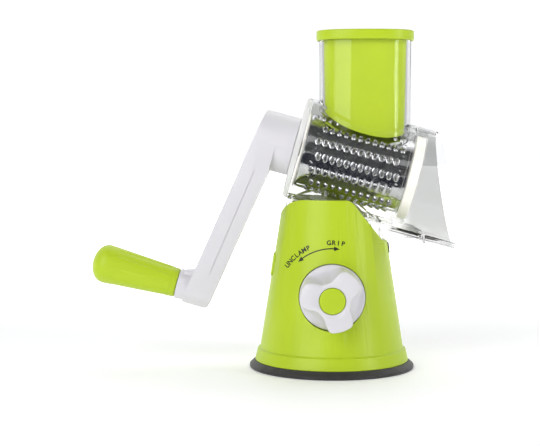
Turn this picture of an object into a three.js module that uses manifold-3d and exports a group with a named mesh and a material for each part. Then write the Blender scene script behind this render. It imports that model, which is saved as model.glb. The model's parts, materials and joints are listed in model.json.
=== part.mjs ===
// Rotary cheese grater with a suction base: a hand crank turns a perforated drum inside a clear housing.
// Millimetres, +Z up, origin in the middle of the foot's underside, outlet towards +X, knob towards -Y.
import * as THREE from "three";
import { mergeVertices } from "three/addons/utils/BufferGeometryUtils.js";
import Module from "manifold-3d";

const wasm = await Module();
wasm.setup();

// ---- Driving dimensions ----

const GAP = 0.3; // between pieces that meet
const CLEAR = 0.6; // between pieces that slide or turn
const WALL = 2;
const PAST = 5; // how far a cutter runs past the face it opens
const FAR = 60; // half the size of a cutter that takes everything beyond a plane
const FACETS = { large: 40, medium: 28, small: 14, tiny: 8 };

const FOOT = { radius: 59, rimTop: 5.1, thickness: 3.4, seatRadius: 53.4 };
const BAND = { bottom: 5.4, top: 13.7, bottomRadius: 55.1, topRadius: 53 };
const CONE = { bottom: 14.5, radius: 51.3, slope: 0.154 };
const DECK = { bottom: 87, top: 90.3 };
const SHIELD = { top: 121.3, left: 108, right: 91 };

const KNOB = {
  height: 55,
  discRadius: 22.6,
  back: -33.9,
  face: -45,
  front: -65,
  lobeRadius: 17.4,
  lobeDepth: 4.4,
  lobeAngle: 48,
  capRadius: 9,
};
const CAM = { radius: 9, offset: 4, restAngle: 215, halfWidth: 6, shaftRadius: 4.5 };
const STEM = { radius: 5, forkHalf: 11, forkInner: 8, top: 72.5 };
const SCREW = { circle: 44, hole: 1.9, shank: 1.5, boss: 4.5, bossTop: 40, depth: 30 };

const DRUM = {
  tilt: 15,
  end: { x: 52.4, z: 136.6 },
  radius: 26.8,
  wall: 0.8,
  back: -75.7,
  ringRadius: 29.6,
  ringFront: 7,
  outletRadius: 23,
};
const HOLES = { rows: 16, turn: 0.0611, perRow: 12, pitch: 5.1, size: 2.6, firstAt: -66.5 };
const BARREL = { radius: 37, wall: 2.2, back: -77.6 };
const HOOD = { radius: 38.9, drop: 1.9, back: -3, mouthTop: 13, mouthBottom: 46.6 };
const COLLAR = { inner: 31, outer: 33, front: 7.2 };
const BACK_PLATE = { radius: 36.5, back: -81.8, front: -77.9, bore: 8.8 };
const CHUTE = { centre: 23.1, width: 65, depth: 48, top: 232.7, saddle: 30 };
const PUSHER = { width: 59, depth: 40, saddle: 29.6, wall: 2, top: 240 };
const LIP = { width: 69, depth: 50, height: 7 };
const OVAL = { power: 2.5, steps: 44 }; // the chute's and the pusher's plan, a superellipse

const HUB = { radius: 20.85, back: -110.2, front: -82.3 };
const SHAFT = { radius: 5.4, squareHalf: 3.7, back: -101, step: -77.4, front: -60 };
const ARM = { inner: -95.1, endRadius: 12.3, plan: [-140, -94] };
const ELBOW = { throw: 116.6, radius: 10.8, back: -138, front: -114 };
const GRIP = { front: -138.3, back: -201.3, smallRadius: 10.4, largeRadius: 13.9, dome: 9 };
const AXLE = { radius: 3.2, front: -119.5, headBack: -192.5, headLength: 2.5, headRadius: 4.6 };

const BUTTON = { bottom: 66.3, top: 82, halfWidth: 9, corner: 3, proud: 0.9, inside: -36 };
const BUTTON_STOP = { x: -25.5, thickness: 2, halfWidth: 11, bottom: 62 };
const NECK = { clearance: 2.4, left: 20, right: 65.5, depth: 50, corner: 8, top: 135 };
const CHUTE_LOW = 150; // inside the drum's clearance at the chute's lowest edge
const HOUSING_FOOT = DECK.top + GAP;

const rad = THREE.MathUtils.degToRad;
const coneRadius = (z) => CONE.radius - CONE.slope * (z - CONE.bottom);

// ---- Materials ----

const paint = (color, roughness, metalness = 0, opacity = 1) =>
  new THREE.MeshStandardMaterial({ color, roughness, metalness, opacity, transparent: opacity < 1 });

const MATERIAL = {
  green: paint(0xb8d430, 0.35),
  white: paint(0xe4e2e8, 0.4),
  cream: paint(0xe4e2dc, 0.45),
  clear: paint(0xdfe3e2, 0.05, 0, 0.3),
  rubber: paint(0x262424, 0.8),
  steel: paint(0xb8bac0, 0.22, 1),
  nylon: paint(0xc8c8c4, 0.5),
};

// ---- Geometry helpers ----

// A closed three.js geometry as a manifold solid, whichever way its faces were wound.
function solid(geometry) {
  const bare = geometry.clone();
  bare.deleteAttribute("normal");
  bare.deleteAttribute("uv");
  const merged = mergeVertices(bare, 1e-4);
  const triangles = [];
  const index = merged.index.array;
  for (let i = 0; i < index.length; i += 3) {
    const [a, b, c] = [index[i], index[i + 1], index[i + 2]];
    if (a !== b && b !== c && c !== a) triangles.push([a, b, c]);
  }
  const build = (faces) =>
    new wasm.Manifold(
      new wasm.Mesh({
        numProp: 3,
        vertProperties: merged.attributes.position.array,
        triVerts: new Uint32Array(faces.flat()),
      }),
    );
  const made = build(triangles);
  return made.volume() < 0 ? build(triangles.map(([a, b, c]) => [a, c, b])) : made;
}

function geometryOf(body) {
  const { vertProperties, triVerts, numProp } = body.getMesh();
  const positions = new Float32Array((vertProperties.length / numProp) * 3);
  for (let i = 0; i < positions.length / 3; i++) {
    positions.set(vertProperties.subarray(i * numProp, i * numProp + 3), i * 3);
  }
  const geometry = new THREE.BufferGeometry();
  geometry.setAttribute("position", new THREE.BufferAttribute(positions, 3));
  geometry.setIndex(new THREE.BufferAttribute(triVerts, 1));
  return geometry;
}

const join = (...bodies) => bodies.reduce((a, b) => a.add(b));
const cut = (body, ...tools) => tools.reduce((a, b) => a.subtract(b), body);

// A body of revolution about Z from [radius, z] pairs. A profile off the axis closes on itself.
function revolve(profile, facets) {
  const points = profile.map(([r, z]) => new THREE.Vector2(r, z));
  if (profile[0][0] > 0) points.push(points[0].clone());
  return new THREE.LatheGeometry(points, facets).rotateX(Math.PI / 2);
}

function disc(radius, from, to, facets = FACETS.medium) {
  return revolve([[0, from], [radius, from], [radius, to], [0, to]], facets);
}

function tube(inner, outer, from, to, facets = FACETS.medium) {
  return revolve([[inner, from], [outer, from], [outer, to], [inner, to]], facets);
}

// Z of a body of revolution laid along Y, so that its own z becomes y.
const alongY = (geometry) => geometry.rotateX(-Math.PI / 2);
// The same for X.
const alongX = (geometry) => geometry.rotateY(Math.PI / 2);

// An outline drawn in x and z, extruded along Y about y = 0.
function slab(shape, depth) {
  const settings = { depth, bevelEnabled: false, curveSegments: 6 };
  return new THREE.ExtrudeGeometry(shape, settings).rotateX(Math.PI / 2).translate(0, depth / 2, 0);
}

// An outline drawn in x and y, extruded upwards.
function post(shape, from, to, curveSegments = 6) {
  const settings = { depth: to - from, bevelEnabled: false, curveSegments };
  return new THREE.ExtrudeGeometry(shape, settings).translate(0, 0, from);
}

const polygon = (points) => new THREE.Shape(points.map(([x, y]) => new THREE.Vector2(x, y)));

function box(x0, x1, y0, y1, z0, z1) {
  return new THREE.BoxGeometry(x1 - x0, y1 - y0, z1 - z0).translate(
    (x0 + x1) / 2,
    (y0 + y1) / 2,
    (z0 + z1) / 2,
  );
}

function roundedRectangle(centreX, width, depth, corner, centreY = 0) {
  const [left, right] = [centreX - width / 2 + corner, centreX + width / 2 - corner];
  const [low, high] = [centreY - depth / 2 + corner, centreY + depth / 2 - corner];
  const quarter = Math.PI / 2;
  const shape = new THREE.Shape();
  shape.absarc(right, low, corner, -quarter, 0);
  shape.absarc(right, high, corner, 0, quarter);
  shape.absarc(left, high, corner, quarter, 2 * quarter);
  shape.absarc(left, low, corner, 2 * quarter, 3 * quarter);
  shape.closePath();
  return shape;
}

// Round wire wound along Z: a section of few sides follows a helix with flat-lying ends.
function coil(radius, wire, from, to, turns) {
  class Helix extends THREE.Curve {
    getPoint(t, target = new THREE.Vector3()) {
      const angle = 2 * Math.PI * turns * t;
      const z = THREE.MathUtils.lerp(from + wire / 2, to - wire / 2, t);
      return target.set(radius * Math.cos(angle), radius * Math.sin(angle), z);
    }
  }
  const section = new THREE.Shape();
  section.absarc(0, 0, wire / 2, 0, 2 * Math.PI);
  const steps = Math.round(turns * FACETS.tiny);
  return new THREE.ExtrudeGeometry(section, { extrudePath: new Helix(), steps, curveSegments: 3 });
}

// ---- The drum's frame: x away from the axis and down, y as the part's own, z along the drum ----

const TURN = rad(90 + DRUM.tilt);
const tilted = (geometry) => geometry.rotateY(TURN).translate(DRUM.end.x, 0, DRUM.end.z);
const placeOf = (down, along) =>
  new THREE.Vector3(down, 0, along)
    .applyAxisAngle(new THREE.Vector3(0, 1, 0), TURN)
    .add(new THREE.Vector3(DRUM.end.x, 0, DRUM.end.z));

// ---- Base ----

// Everything above the edge of the shields, as one block; lift raises the edge.
function aboveShields(lift = 0) {
  const outline = new THREE.Shape();
  outline.moveTo(-70, SHIELD.left + lift);
  outline.lineTo(-38, SHIELD.left + lift);
  outline.quadraticCurveTo(-32.5, SHIELD.top + lift, -18.5, SHIELD.top + lift);
  outline.lineTo(9.5, SHIELD.top + lift);
  outline.quadraticCurveTo(13.2, SHIELD.top + lift, 16.5, 116.6 + lift);
  outline.lineTo(33, 95.5 + lift);
  outline.quadraticCurveTo(36, SHIELD.right + lift, 40, SHIELD.right + lift);
  outline.lineTo(70, SHIELD.right + lift);
  outline.lineTo(70, 150);
  outline.lineTo(-70, 150);
  outline.closePath();
  return solid(slab(outline, 140));
}

// The cone's outer surface as a solid, grown by extra all round.
function coneBody(extra = 0) {
  const profile = [
    [0, BAND.bottom],
    [BAND.bottomRadius + extra, BAND.bottom],
    [BAND.topRadius + extra, BAND.top],
    [CONE.radius + extra, CONE.bottom],
    [coneRadius(SHIELD.top) + extra, SHIELD.top],
    [0, SHIELD.top],
  ];
  return solid(revolve(profile, FACETS.large));
}

const screwPlaces = [90, 210, 330].map((degrees) => ({
  x: SCREW.circle * Math.cos(rad(degrees)),
  y: SCREW.circle * Math.sin(rad(degrees)),
}));
const screwHole = (radius, from, to, { x, y }) =>
  solid(disc(radius, from, to, FACETS.tiny).translate(x, y, 0));

const buttonOutline = (grow) => {
  const height = BUTTON.top - BUTTON.bottom + 2 * grow;
  const middle = (BUTTON.top + BUTTON.bottom) / 2;
  return roundedRectangle(-middle, height, 2 * (BUTTON.halfWidth + grow), BUTTON.corner + grow);
};
// The button's outline carried from x = from to x = to.
const buttonBlock = (grow, from, to) => solid(alongX(post(buttonOutline(grow), from, to, 3)));

// The cone with its band, its deck and the shields that stand above the deck.
function baseWalls() {
  const top = SHIELD.top;
  return solid(
    revolve(
      [
        [0, DECK.bottom],
        [coneRadius(DECK.bottom) - WALL, DECK.bottom],
        [CONE.radius - WALL, CONE.bottom],
        [BAND.topRadius - WALL, BAND.top],
        [BAND.bottomRadius - WALL, BAND.bottom],
        [BAND.bottomRadius, BAND.bottom],
        [BAND.topRadius, BAND.top],
        [CONE.radius, CONE.bottom],
        [coneRadius(top), top],
        [coneRadius(top) - WALL, top],
        [coneRadius(DECK.top) - WALL, DECK.top],
        [0, DECK.top],
      ],
      FACETS.large,
    ),
  );
}

// The sunken well round the knob: its wall, and the room that is cut out of it.
function knobWell() {
  const floor = KNOB.back + CLEAR;
  const radius = KNOB.discRadius + CLEAR;
  const raise = (geometry) => solid(alongY(geometry).translate(0, 0, KNOB.height));
  return {
    wall: raise(disc(radius + WALL, floor + WALL, KNOB.face, FACETS.medium)).intersect(coneBody()),
    room: raise(disc(radius, floor, KNOB.front - PAST, FACETS.medium)),
    shaftHole: raise(disc(CAM.shaftRadius + CLEAR, floor + 2 * PAST, KNOB.front, FACETS.small)),
  };
}

function baseShell() {
  const well = knobWell();
  const bosses = screwPlaces.map(({ x, y }) =>
    solid(disc(SCREW.boss, CONE.bottom, SCREW.bossTop, FACETS.small).translate(x, y, 0)).intersect(
      coneBody(),
    ),
  );
  const stop = box(
    BUTTON_STOP.x - BUTTON_STOP.thickness,
    BUTTON_STOP.x,
    -BUTTON_STOP.halfWidth,
    BUTTON_STOP.halfWidth,
    BUTTON_STOP.bottom,
    DECK.bottom + 1,
  );
  const bracketHole = (x) => screwHole(SCREW.hole, DECK.bottom - 1, DECK.top - 1, { x, y: 0 });
  return cut(
    join(baseWalls(), well.wall, solid(stop), ...bosses),
    aboveShields(),
    well.room,
    well.shaftHole,
    buttonBlock(0.5, -FAR, BUTTON.inside + 1),
    ...screwPlaces.map((at) => screwHole(SCREW.hole, CONE.bottom - 1, SCREW.depth, at)),
    bracketHole(-BRACKET.screwX),
    bracketHole(BRACKET.screwX),
  );
}

// Flared foot with a lip that meets the shell, flat underneath.
function suctionPad() {
  return revolve(
    [
      [0, 0],
      [FOOT.radius - 1, 0],
      [FOOT.radius, 0.8],
      [FOOT.radius, 1.9],
      [BAND.bottomRadius + 0.6, FOOT.rimTop],
      [FOOT.seatRadius, FOOT.rimTop],
      [FOOT.seatRadius - 1.2, FOOT.thickness],
      [0, FOOT.thickness],
    ],
    FACETS.large,
  );
}

const PLATE = { radius: 50.4, bottom: 11.5, top: 13.4, guideTop: 26, guideRadius: 9 };
const HEAD = { radius: 3.6, height: 2.4 };

function basePlate() {
  const plate = revolve(
    [
      [STEM.radius + CLEAR, PLATE.bottom],
      [PLATE.radius, PLATE.bottom],
      [PLATE.radius, PLATE.top],
      [PLATE.guideRadius, PLATE.top],
      [PLATE.guideRadius, PLATE.guideTop],
      [STEM.radius + CLEAR, PLATE.guideTop],
    ],
    FACETS.medium,
  );
  const holes = screwPlaces.map((at) =>
    screwHole(SCREW.hole, PLATE.bottom - 1, PLATE.top + 1, at),
  );
  return cut(solid(plate), ...holes);
}

// A screw that points up, its head under z = under.
function screw(under, tip) {
  return revolve(
    [
      [0, under - HEAD.height],
      [HEAD.radius, under - HEAD.height],
      [HEAD.radius, under],
      [SCREW.shank, under],
      [SCREW.shank, tip],
      [0, tip],
    ],
    FACETS.tiny,
  );
}

const plateScrew = () => screw(PLATE.bottom - GAP, SCREW.depth - 2);

// ---- Suction mechanism ----

const BRACKET = {
  inner: 13.3,
  outer: 15.8,
  halfWidth: 10,
  bottom: 47,
  top: DECK.bottom - GAP,
  thickness: 2.5,
  reach: 21,
  screwX: 16,
};

function camBracket() {
  const under = BRACKET.top - BRACKET.thickness;
  const cheek = (side) =>
    box(
      -BRACKET.halfWidth,
      BRACKET.halfWidth,
      side < 0 ? -BRACKET.outer : BRACKET.inner,
      side < 0 ? -BRACKET.inner : BRACKET.outer,
      BRACKET.bottom,
      BRACKET.top,
    );
  const roof = box(-BRACKET.reach, BRACKET.reach, -BRACKET.outer, BRACKET.outer, under, BRACKET.top);
  const bore = disc(CAM.shaftRadius + CLEAR, -BRACKET.outer - 1, BRACKET.outer + 1, FACETS.small);
  const hole = (x) => screwHole(SCREW.hole, under - 1, BRACKET.top + 1, { x, y: 0 });
  return cut(
    join(solid(roof), solid(cheek(-1)), solid(cheek(1))),
    solid(alongY(bore).translate(0, 0, KNOB.height)),
    hole(-BRACKET.screwX),
    hole(BRACKET.screwX),
  );
}

const bracketScrew = () => screw(BRACKET.top - BRACKET.thickness - GAP, DECK.top - 1.5);

const camCentre = {
  x: CAM.offset * Math.cos(rad(CAM.restAngle)),
  z: KNOB.height + CAM.offset * Math.sin(rad(CAM.restAngle)),
};
const PIN_RADIUS = 1.5;
const PIN = { halfLength: 12, x: camCentre.x, z: camCentre.z + CAM.radius + PIN_RADIUS + 0.4 };
const KNOB_SCREW = { head: -57.8, under: -54.9, tip: -42 };
const CAM_SHAFT = { front: -50, back: 17 };
const FORK = { half: 7.5, bottom: 30, foot: 3, head: 2.5 };

function camShaft() {
  const { front, back } = CAM_SHAFT;
  const shaft = disc(CAM.shaftRadius, front, back, FACETS.small);
  const cam = disc(CAM.radius, -CAM.halfWidth, CAM.halfWidth, FACETS.medium);
  const hole = disc(SCREW.hole, front - 1, KNOB_SCREW.tip + 2, FACETS.tiny);
  return cut(
    join(
      solid(alongY(shaft).translate(0, 0, KNOB.height)),
      solid(alongY(cam).translate(camCentre.x, 0, camCentre.z)),
    ),
    solid(alongY(hole).translate(0, 0, KNOB.height)),
  );
}

function pullStem() {
  const { half, bottom, foot, head } = FORK;
  const { forkHalf, forkInner, radius, top } = STEM;
  const across = (y0, y1, z0, z1) => solid(box(-half, half, y0, y1, z0, z1));
  const slot = box(
    -CAM.shaftRadius - CLEAR,
    CAM.shaftRadius + CLEAR,
    -forkHalf - 1,
    forkHalf + 1,
    KNOB.height - CAM.shaftRadius - PAST - CLEAR,
    KNOB.height + CAM.shaftRadius + CLEAR,
  );
  const pinHole = disc(PIN_RADIUS + GAP, -forkHalf - 1, forkHalf + 1, FACETS.tiny);
  return cut(
    join(
      solid(disc(radius, FOOT.thickness + GAP, bottom + 2, FACETS.small)),
      across(-forkHalf, forkHalf, bottom, bottom + foot),
      across(-forkHalf, forkHalf, top - head, top),
      across(-forkHalf, -forkInner, bottom, top),
      across(forkInner, forkHalf, bottom, top),
    ),
    solid(slot),
    solid(alongY(pinHole).translate(PIN.x, 0, PIN.z)),
  );
}

const stemPin = () =>
  alongY(disc(PIN_RADIUS, -PIN.halfLength, PIN.halfLength, FACETS.tiny)).translate(PIN.x, 0, PIN.z);

const PULL_PLATE = { radius: 22, top: 6.2 };
const pullPlate = () =>
  tube(STEM.radius + GAP, PULL_PLATE.radius, FOOT.thickness + GAP, PULL_PLATE.top, FACETS.medium);

const LIFT_SPRING = { radius: 6, wire: 1.2, turns: 3.5 };
const liftSpring = () =>
  coil(
    LIFT_SPRING.radius,
    LIFT_SPRING.wire,
    STEM.top + GAP,
    BRACKET.top - BRACKET.thickness - GAP,
    LIFT_SPRING.turns,
  );

// ---- Knob ----

const LOBE_STEPS = 36;

// Three rounded lobes with scoops between them, drawn as seen from the front.
function lobeOutline() {
  const points = [];
  for (let i = 0; i < LOBE_STEPS; i++) {
    const angle = (2 * Math.PI * i) / LOBE_STEPS;
    const radius = KNOB.lobeRadius + KNOB.lobeDepth * Math.cos(3 * (angle - rad(KNOB.lobeAngle)));
    points.push([radius * Math.cos(angle), radius * Math.sin(angle)]);
  }
  return polygon(points);
}

const KNOB_WELLS = { screwRoom: 5, capSeat: 3.1 };

function knob() {
  const plate = alongY(disc(KNOB.discRadius, KNOB.back, KNOB.face, FACETS.medium));
  const depth = KNOB.face - KNOB.front;
  const lobes = slab(lobeOutline(), depth + 1).translate(0, (KNOB.front + KNOB.face + 1) / 2, 0);
  const rooms = [
    disc(KNOB.capRadius + GAP, KNOB.front + KNOB_WELLS.capSeat, KNOB.front - PAST),
    disc(KNOB_WELLS.screwRoom, KNOB_SCREW.under + GAP, KNOB.front, FACETS.small),
    disc(SCREW.hole, KNOB_SCREW.tip, KNOB.front, FACETS.tiny),
    disc(CAM.shaftRadius + GAP, KNOB.back + PAST, CAM_SHAFT.front - GAP, FACETS.small),
  ];
  return cut(join(solid(plate), solid(lobes)), ...rooms.map((room) => solid(alongY(room))));
}

function knobCap() {
  const from = KNOB.front + KNOB_WELLS.capSeat - GAP;
  return alongY(
    revolve(
      [
        [0, from],
        [KNOB.capRadius, from],
        [KNOB.capRadius, KNOB.front + 0.5],
        [KNOB.capRadius - 0.8, KNOB.front],
        [0, KNOB.front],
      ],
      FACETS.medium,
    ),
  );
}

// A screw along its own z, its head between head and under.
function machineScrew(head, under, tip) {
  const wide = 4;
  const profile = [[0, head], [wide, head], [wide, under], [SCREW.shank, under], [SCREW.shank, tip]];
  return revolve([...profile, [0, tip]], FACETS.tiny);
}

function knobScrew() {
  const { head, under, tip } = KNOB_SCREW;
  return alongY(machineScrew(head, under, tip));
}

// ---- Release button ----

function releaseButton() {
  return buttonBlock(0, -FAR, BUTTON.inside).intersect(coneBody(BUTTON.proud));
}

const BUTTON_SPRING = { radius: 4, wire: 1, turns: 3.5 };

function buttonSpring() {
  const from = BUTTON.inside + GAP;
  const to = BUTTON_STOP.x - BUTTON_STOP.thickness - GAP;
  const { radius, wire, turns } = BUTTON_SPRING;
  const middle = (BUTTON.top + BUTTON.bottom) / 2;
  return alongX(coil(radius, wire, from, to, turns)).translate(0, 0, middle);
}

// ---- Housing ----

// A superellipse of this width and depth round the chute's centre.
function oval(width, depth) {
  const bend = (share) => Math.sign(share) * Math.abs(share) ** (2 / OVAL.power);
  const points = [];
  for (let i = 0; i < OVAL.steps; i++) {
    const angle = (2 * Math.PI * i) / OVAL.steps;
    points.push([
      CHUTE.centre + (bend(Math.cos(angle)) * width) / 2,
      (bend(Math.sin(angle)) * depth) / 2,
    ]);
  }
  return polygon(points);
}
const chuteOutline = (shrink) => oval(CHUTE.width - 2 * shrink, CHUTE.depth - 2 * shrink);
const drumCylinder = (radius, from, to) => solid(tilted(disc(radius, from, to, FACETS.large)));
const hoodCylinder = (radius, from) =>
  solid(tilted(disc(radius, from, HOOD.mouthBottom + 10, FACETS.large).translate(HOOD.drop, 0, 0)));

// Everything beyond the slanting mouth.
function beyondMouth() {
  const high = placeOf(-HOOD.radius + HOOD.drop, HOOD.mouthTop);
  const low = placeOf(HOOD.radius + HOOD.drop, HOOD.mouthBottom);
  const run = low.clone().sub(high);
  const from = high.clone().sub(run);
  const to = low.clone().add(run);
  const right = low.x + FAR;
  const outline = [[from.x, from.z], [to.x, to.z], [right, to.z], [right, from.z]];
  return solid(slab(polygon(outline), 2 * FAR));
}

// Barrel and hood as one solid, grown by extra all round.
const barrelAndHood = (extra) =>
  join(
    drumCylinder(BARREL.radius + extra, BARREL.back - extra, HOOD.back + 1),
    hoodCylinder(HOOD.radius + extra, HOOD.back - extra),
  );

// The housing is one moulding, split where its tubes meet: the neck that plugs into the base is
// round inside the shields and straight under the hood.
function housingNeck() {
  const { clearance, left, right, depth, corner, top } = NECK;
  const wallAt = (z, inset) => coneRadius(z) - clearance - inset;
  const round = revolve(
    [
      [wallAt(HOUSING_FOOT, WALL), HOUSING_FOOT],
      [wallAt(HOUSING_FOOT, 0), HOUSING_FOOT],
      [wallAt(top, 0), top],
      [wallAt(top, WALL), top],
    ],
    FACETS.large,
  );
  const outline = (inset) =>
    roundedRectangle(
      (left + right) / 2,
      right - left - 2 * inset,
      depth - 2 * inset,
      corner - inset,
    );
  const straight = cut(
    solid(post(outline(0), HOUSING_FOOT, top)),
    solid(post(outline(WALL), HOUSING_FOOT - 1, top + 1)),
  );
  const shields = cut(coneBody(0.4), aboveShields(0.4));
  const behind = box(-2 * FAR, BARREL.radius + CLEAR, -FAR, FAR, BARREL.back - FAR, BARREL.back);
  return cut(
    join(solid(round), cut(straight, shields, coneBody(-clearance - WALL / 2))),
    barrelAndHood(GAP),
    solid(tilted(behind)),
  );
}

const housingChute = () =>
  cut(
    solid(post(chuteOutline(0), CHUTE_LOW, CHUTE.top)),
    solid(post(chuteOutline(WALL), CHUTE_LOW - 1, CHUTE.top + 1)),
    barrelAndHood(GAP),
  );

function clearHousing() {
  const { radius, wall, back } = BARREL;
  const outside = barrelAndHood(0);
  const barrelRoom = drumCylinder(radius - wall, back - 1, HOOD.back);
  const hoodRoom = hoodCylinder(HOOD.radius - wall, HOOD.back + WALL);
  const chuteRoom = solid(post(chuteOutline(WALL), CHUTE_LOW - 1, CHUTE.top + 1));
  const shell = cut(outside, barrelRoom, hoodRoom, chuteRoom, beyondMouth());
  const saddle = drumCylinder(CHUTE.saddle, back, HOOD.back + 20);
  const chuteEnd = solid(post(chuteOutline(0), CHUTE_LOW, CHUTE.top)).intersect(outside);
  const collar = tube(COLLAR.inner, COLLAR.outer, HOOD.back, COLLAR.front, FACETS.medium);
  const drumRoom = drumCylinder(COLLAR.inner, HOOD.back - WALL, COLLAR.front + 10);
  return cut(join(shell, cut(chuteEnd, chuteRoom, saddle), solid(tilted(collar))), drumRoom);
}

function housingBackPlate() {
  const { radius, back, front, bore } = BACK_PLATE;
  return revolve(
    [
      [bore, back],
      [radius - 2.5, back],
      [radius - 0.7, back + 0.8],
      [radius, back + 2.6],
      [radius, front],
      [bore, front],
    ],
    FACETS.large,
  );
}

const shaftBush = () =>
  tube(SHAFT.radius + GAP, BACK_PLATE.bore - GAP, BACK_PLATE.back, BACK_PLATE.front, FACETS.medium);

function pusher() {
  const outline = (inset) => oval(PUSHER.width - 2 * inset, PUSHER.depth - 2 * inset);
  const saddle = (radius) => drumCylinder(radius, BARREL.back - FAR, HOOD.mouthBottom);
  const lip = oval(LIP.width, LIP.depth);
  const outside = join(
    solid(post(outline(0), CHUTE_LOW, PUSHER.top)),
    solid(post(lip, PUSHER.top - LIP.height, PUSHER.top)),
  );
  const room = cut(
    solid(post(outline(PUSHER.wall), CHUTE_LOW - 1, PUSHER.top + 1)),
    saddle(PUSHER.saddle + PUSHER.wall),
  );
  return cut(outside, room, saddle(PUSHER.saddle));
}

// ---- Drum, in the drum's frame ----

function drumShell() {
  const { radius, wall, back } = DRUM;
  const shell = solid(tube(radius - wall, radius, back, 0, FACETS.medium));
  const punch = new THREE.BoxGeometry(PAST, HOLES.size, HOLES.size).rotateX(Math.PI / 4);
  const punches = [];
  for (let row = 0; row < HOLES.rows; row++) {
    const angle = HOLES.turn + (2 * Math.PI * row) / HOLES.rows;
    const stagger = row % 2 ? 0 : HOLES.pitch / 2;
    for (let i = 0; i < HOLES.perRow; i++) {
      const at = HOLES.firstAt + stagger + i * HOLES.pitch;
      punches.push(solid(punch.clone().translate(radius, 0, at).rotateZ(angle)));
    }
  }
  return cut(shell, ...punches);
}

const BACK_DISC = { thickness: 4, flange: 1.4, hubRadius: 9, hubLength: 14 };

function drumBackDisc() {
  const { radius, wall, back } = DRUM;
  const { thickness, flange, hubRadius, hubLength } = BACK_DISC;
  const hubEnd = back + hubLength;
  const body = disc(radius - wall - GAP, back, back + thickness);
  const rim = disc(radius, back - flange, back - GAP);
  const hub = disc(hubRadius, back, hubEnd, FACETS.small);
  const half = SHAFT.squareHalf + GAP;
  const hole = box(-half, half, -half, half, back - PAST, hubEnd + PAST);
  const link = disc(radius - wall - 2, back - 1, back + 1);
  return cut(join(...[body, rim, hub, link].map(solid)), solid(hole));
}

function drumFrontRing() {
  const { outletRadius, ringRadius, ringFront, radius, wall } = DRUM;
  const sleeve = radius - wall - GAP;
  return revolve(
    [
      [outletRadius, -4],
      [sleeve, -4],
      [sleeve, GAP],
      [ringRadius, GAP],
      [ringRadius, ringFront - 1],
      [ringRadius - 1, ringFront],
      [outletRadius + 2, ringFront],
      [outletRadius, ringFront - 2],
    ],
    FACETS.large,
  );
}

// ---- Crank, in the drum's frame ----

const SHAFT_SCREW = { head: -107.8, under: -104.8, tip: -90, room: 4.4 };
const HUB_CAP = { radius: 4.1, thickness: 1.6 };

function driveShaft() {
  const round = disc(SHAFT.radius, SHAFT.back, SHAFT.step, FACETS.small);
  const half = SHAFT.squareHalf;
  const square = box(-half, half, -half, half, SHAFT.step - 1, SHAFT.front);
  const hole = disc(SCREW.hole, SHAFT.back - 1, SHAFT_SCREW.tip + 1, FACETS.tiny);
  return cut(join(solid(round), solid(square)), solid(hole));
}

function shaftScrew() {
  const { head, under, tip } = SHAFT_SCREW;
  return machineScrew(head, under, tip);
}

const crankHubCap = () =>
  disc(HUB_CAP.radius, HUB.back, HUB.back + HUB_CAP.thickness, FACETS.small);

// The arm seen from the side, in the drum's frame: along the drum it rises towards the hub.
function armOutline() {
  const top = -HUB.radius - 1;
  const outline = new THREE.Shape();
  outline.moveTo(top, ARM.inner);
  outline.lineTo(top, -104.5);
  outline.quadraticCurveTo(top, -107.3, -18.5, -107.9);
  outline.lineTo(104, -128.1);
  outline.quadraticCurveTo(127, -131, 128.6, -124);
  outline.lineTo(128.9, -116);
  outline.quadraticCurveTo(128.9, -112, 124, -112.4);
  outline.lineTo(21.3, ARM.inner);
  outline.closePath();
  return outline;
}

// The arm is as deep as the hub at its top and narrows towards the elbow.
function crankArm() {
  const { radius, back, front } = HUB;
  const [low, high] = ARM.plan;
  const topDisc = disc(radius, low, high, FACETS.medium);
  const endDisc = disc(ARM.endRadius, low, high, FACETS.medium).translate(ELBOW.throw, 0, 0);
  const plan = wasm.Manifold.hull([solid(topDisc), solid(endDisc)]);
  const arm = solid(slab(armOutline(), 3 * radius)).intersect(plan);
  const hub = disc(radius, ARM.inner - 1, front, FACETS.medium);
  const elbow = disc(ELBOW.radius, ELBOW.back, ELBOW.front, FACETS.medium).translate(ELBOW.throw, 0, 0);
  const shaftBore = disc(SHAFT.radius + GAP, SHAFT.back - GAP, front + 1, FACETS.small);
  const shankHole = disc(SCREW.hole, SHAFT_SCREW.under - 1, SHAFT.back, FACETS.tiny);
  const screwRoom = disc(SHAFT_SCREW.room, back - PAST, SHAFT_SCREW.under + GAP, FACETS.small);
  const axleBore = disc(AXLE.radius + GAP, ELBOW.back - 1, AXLE.front + GAP, FACETS.small);
  return cut(
    join(arm, ...[hub, elbow].map(solid)),
    ...[shaftBore, shankHole, screwRoom, axleBore.translate(ELBOW.throw, 0, 0)].map(solid),
  );
}

function gripAxle() {
  const { radius, front, headBack, headLength, headRadius } = AXLE;
  return revolve(
    [
      [0, headBack],
      [headRadius - 1, headBack],
      [headRadius, headBack + headLength],
      [radius, headBack + headLength],
      [radius, front],
      [0, front],
    ],
    FACETS.small,
  );
}

// Tapered grip with a domed end and a blind bore for the axle.
function grip() {
  const { front, back, smallRadius, largeRadius } = GRIP;
  const bore = AXLE.radius + GAP;
  const room = AXLE.headRadius + GAP;
  const neckEnd = AXLE.headBack + AXLE.headLength + CLEAR;
  const dome = [0, 20, 40, 60, 78].map((degrees) => [
    largeRadius * Math.cos(rad(degrees)),
    back + GRIP.dome * (1 - Math.sin(rad(degrees))),
  ]);
  return revolve(
    [
      [0, AXLE.headBack - CLEAR],
      [room, AXLE.headBack - CLEAR],
      [room, neckEnd],
      [bore, neckEnd],
      [bore, front],
      [smallRadius - 0.6, front],
      [smallRadius, front - 0.8],
      [smallRadius + 0.9, front - 16],
      [largeRadius - 0.5, back + 20],
      ...dome,
      [0, back],
    ],
    FACETS.medium,
  );
}

// ---- Assembly ----

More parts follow.
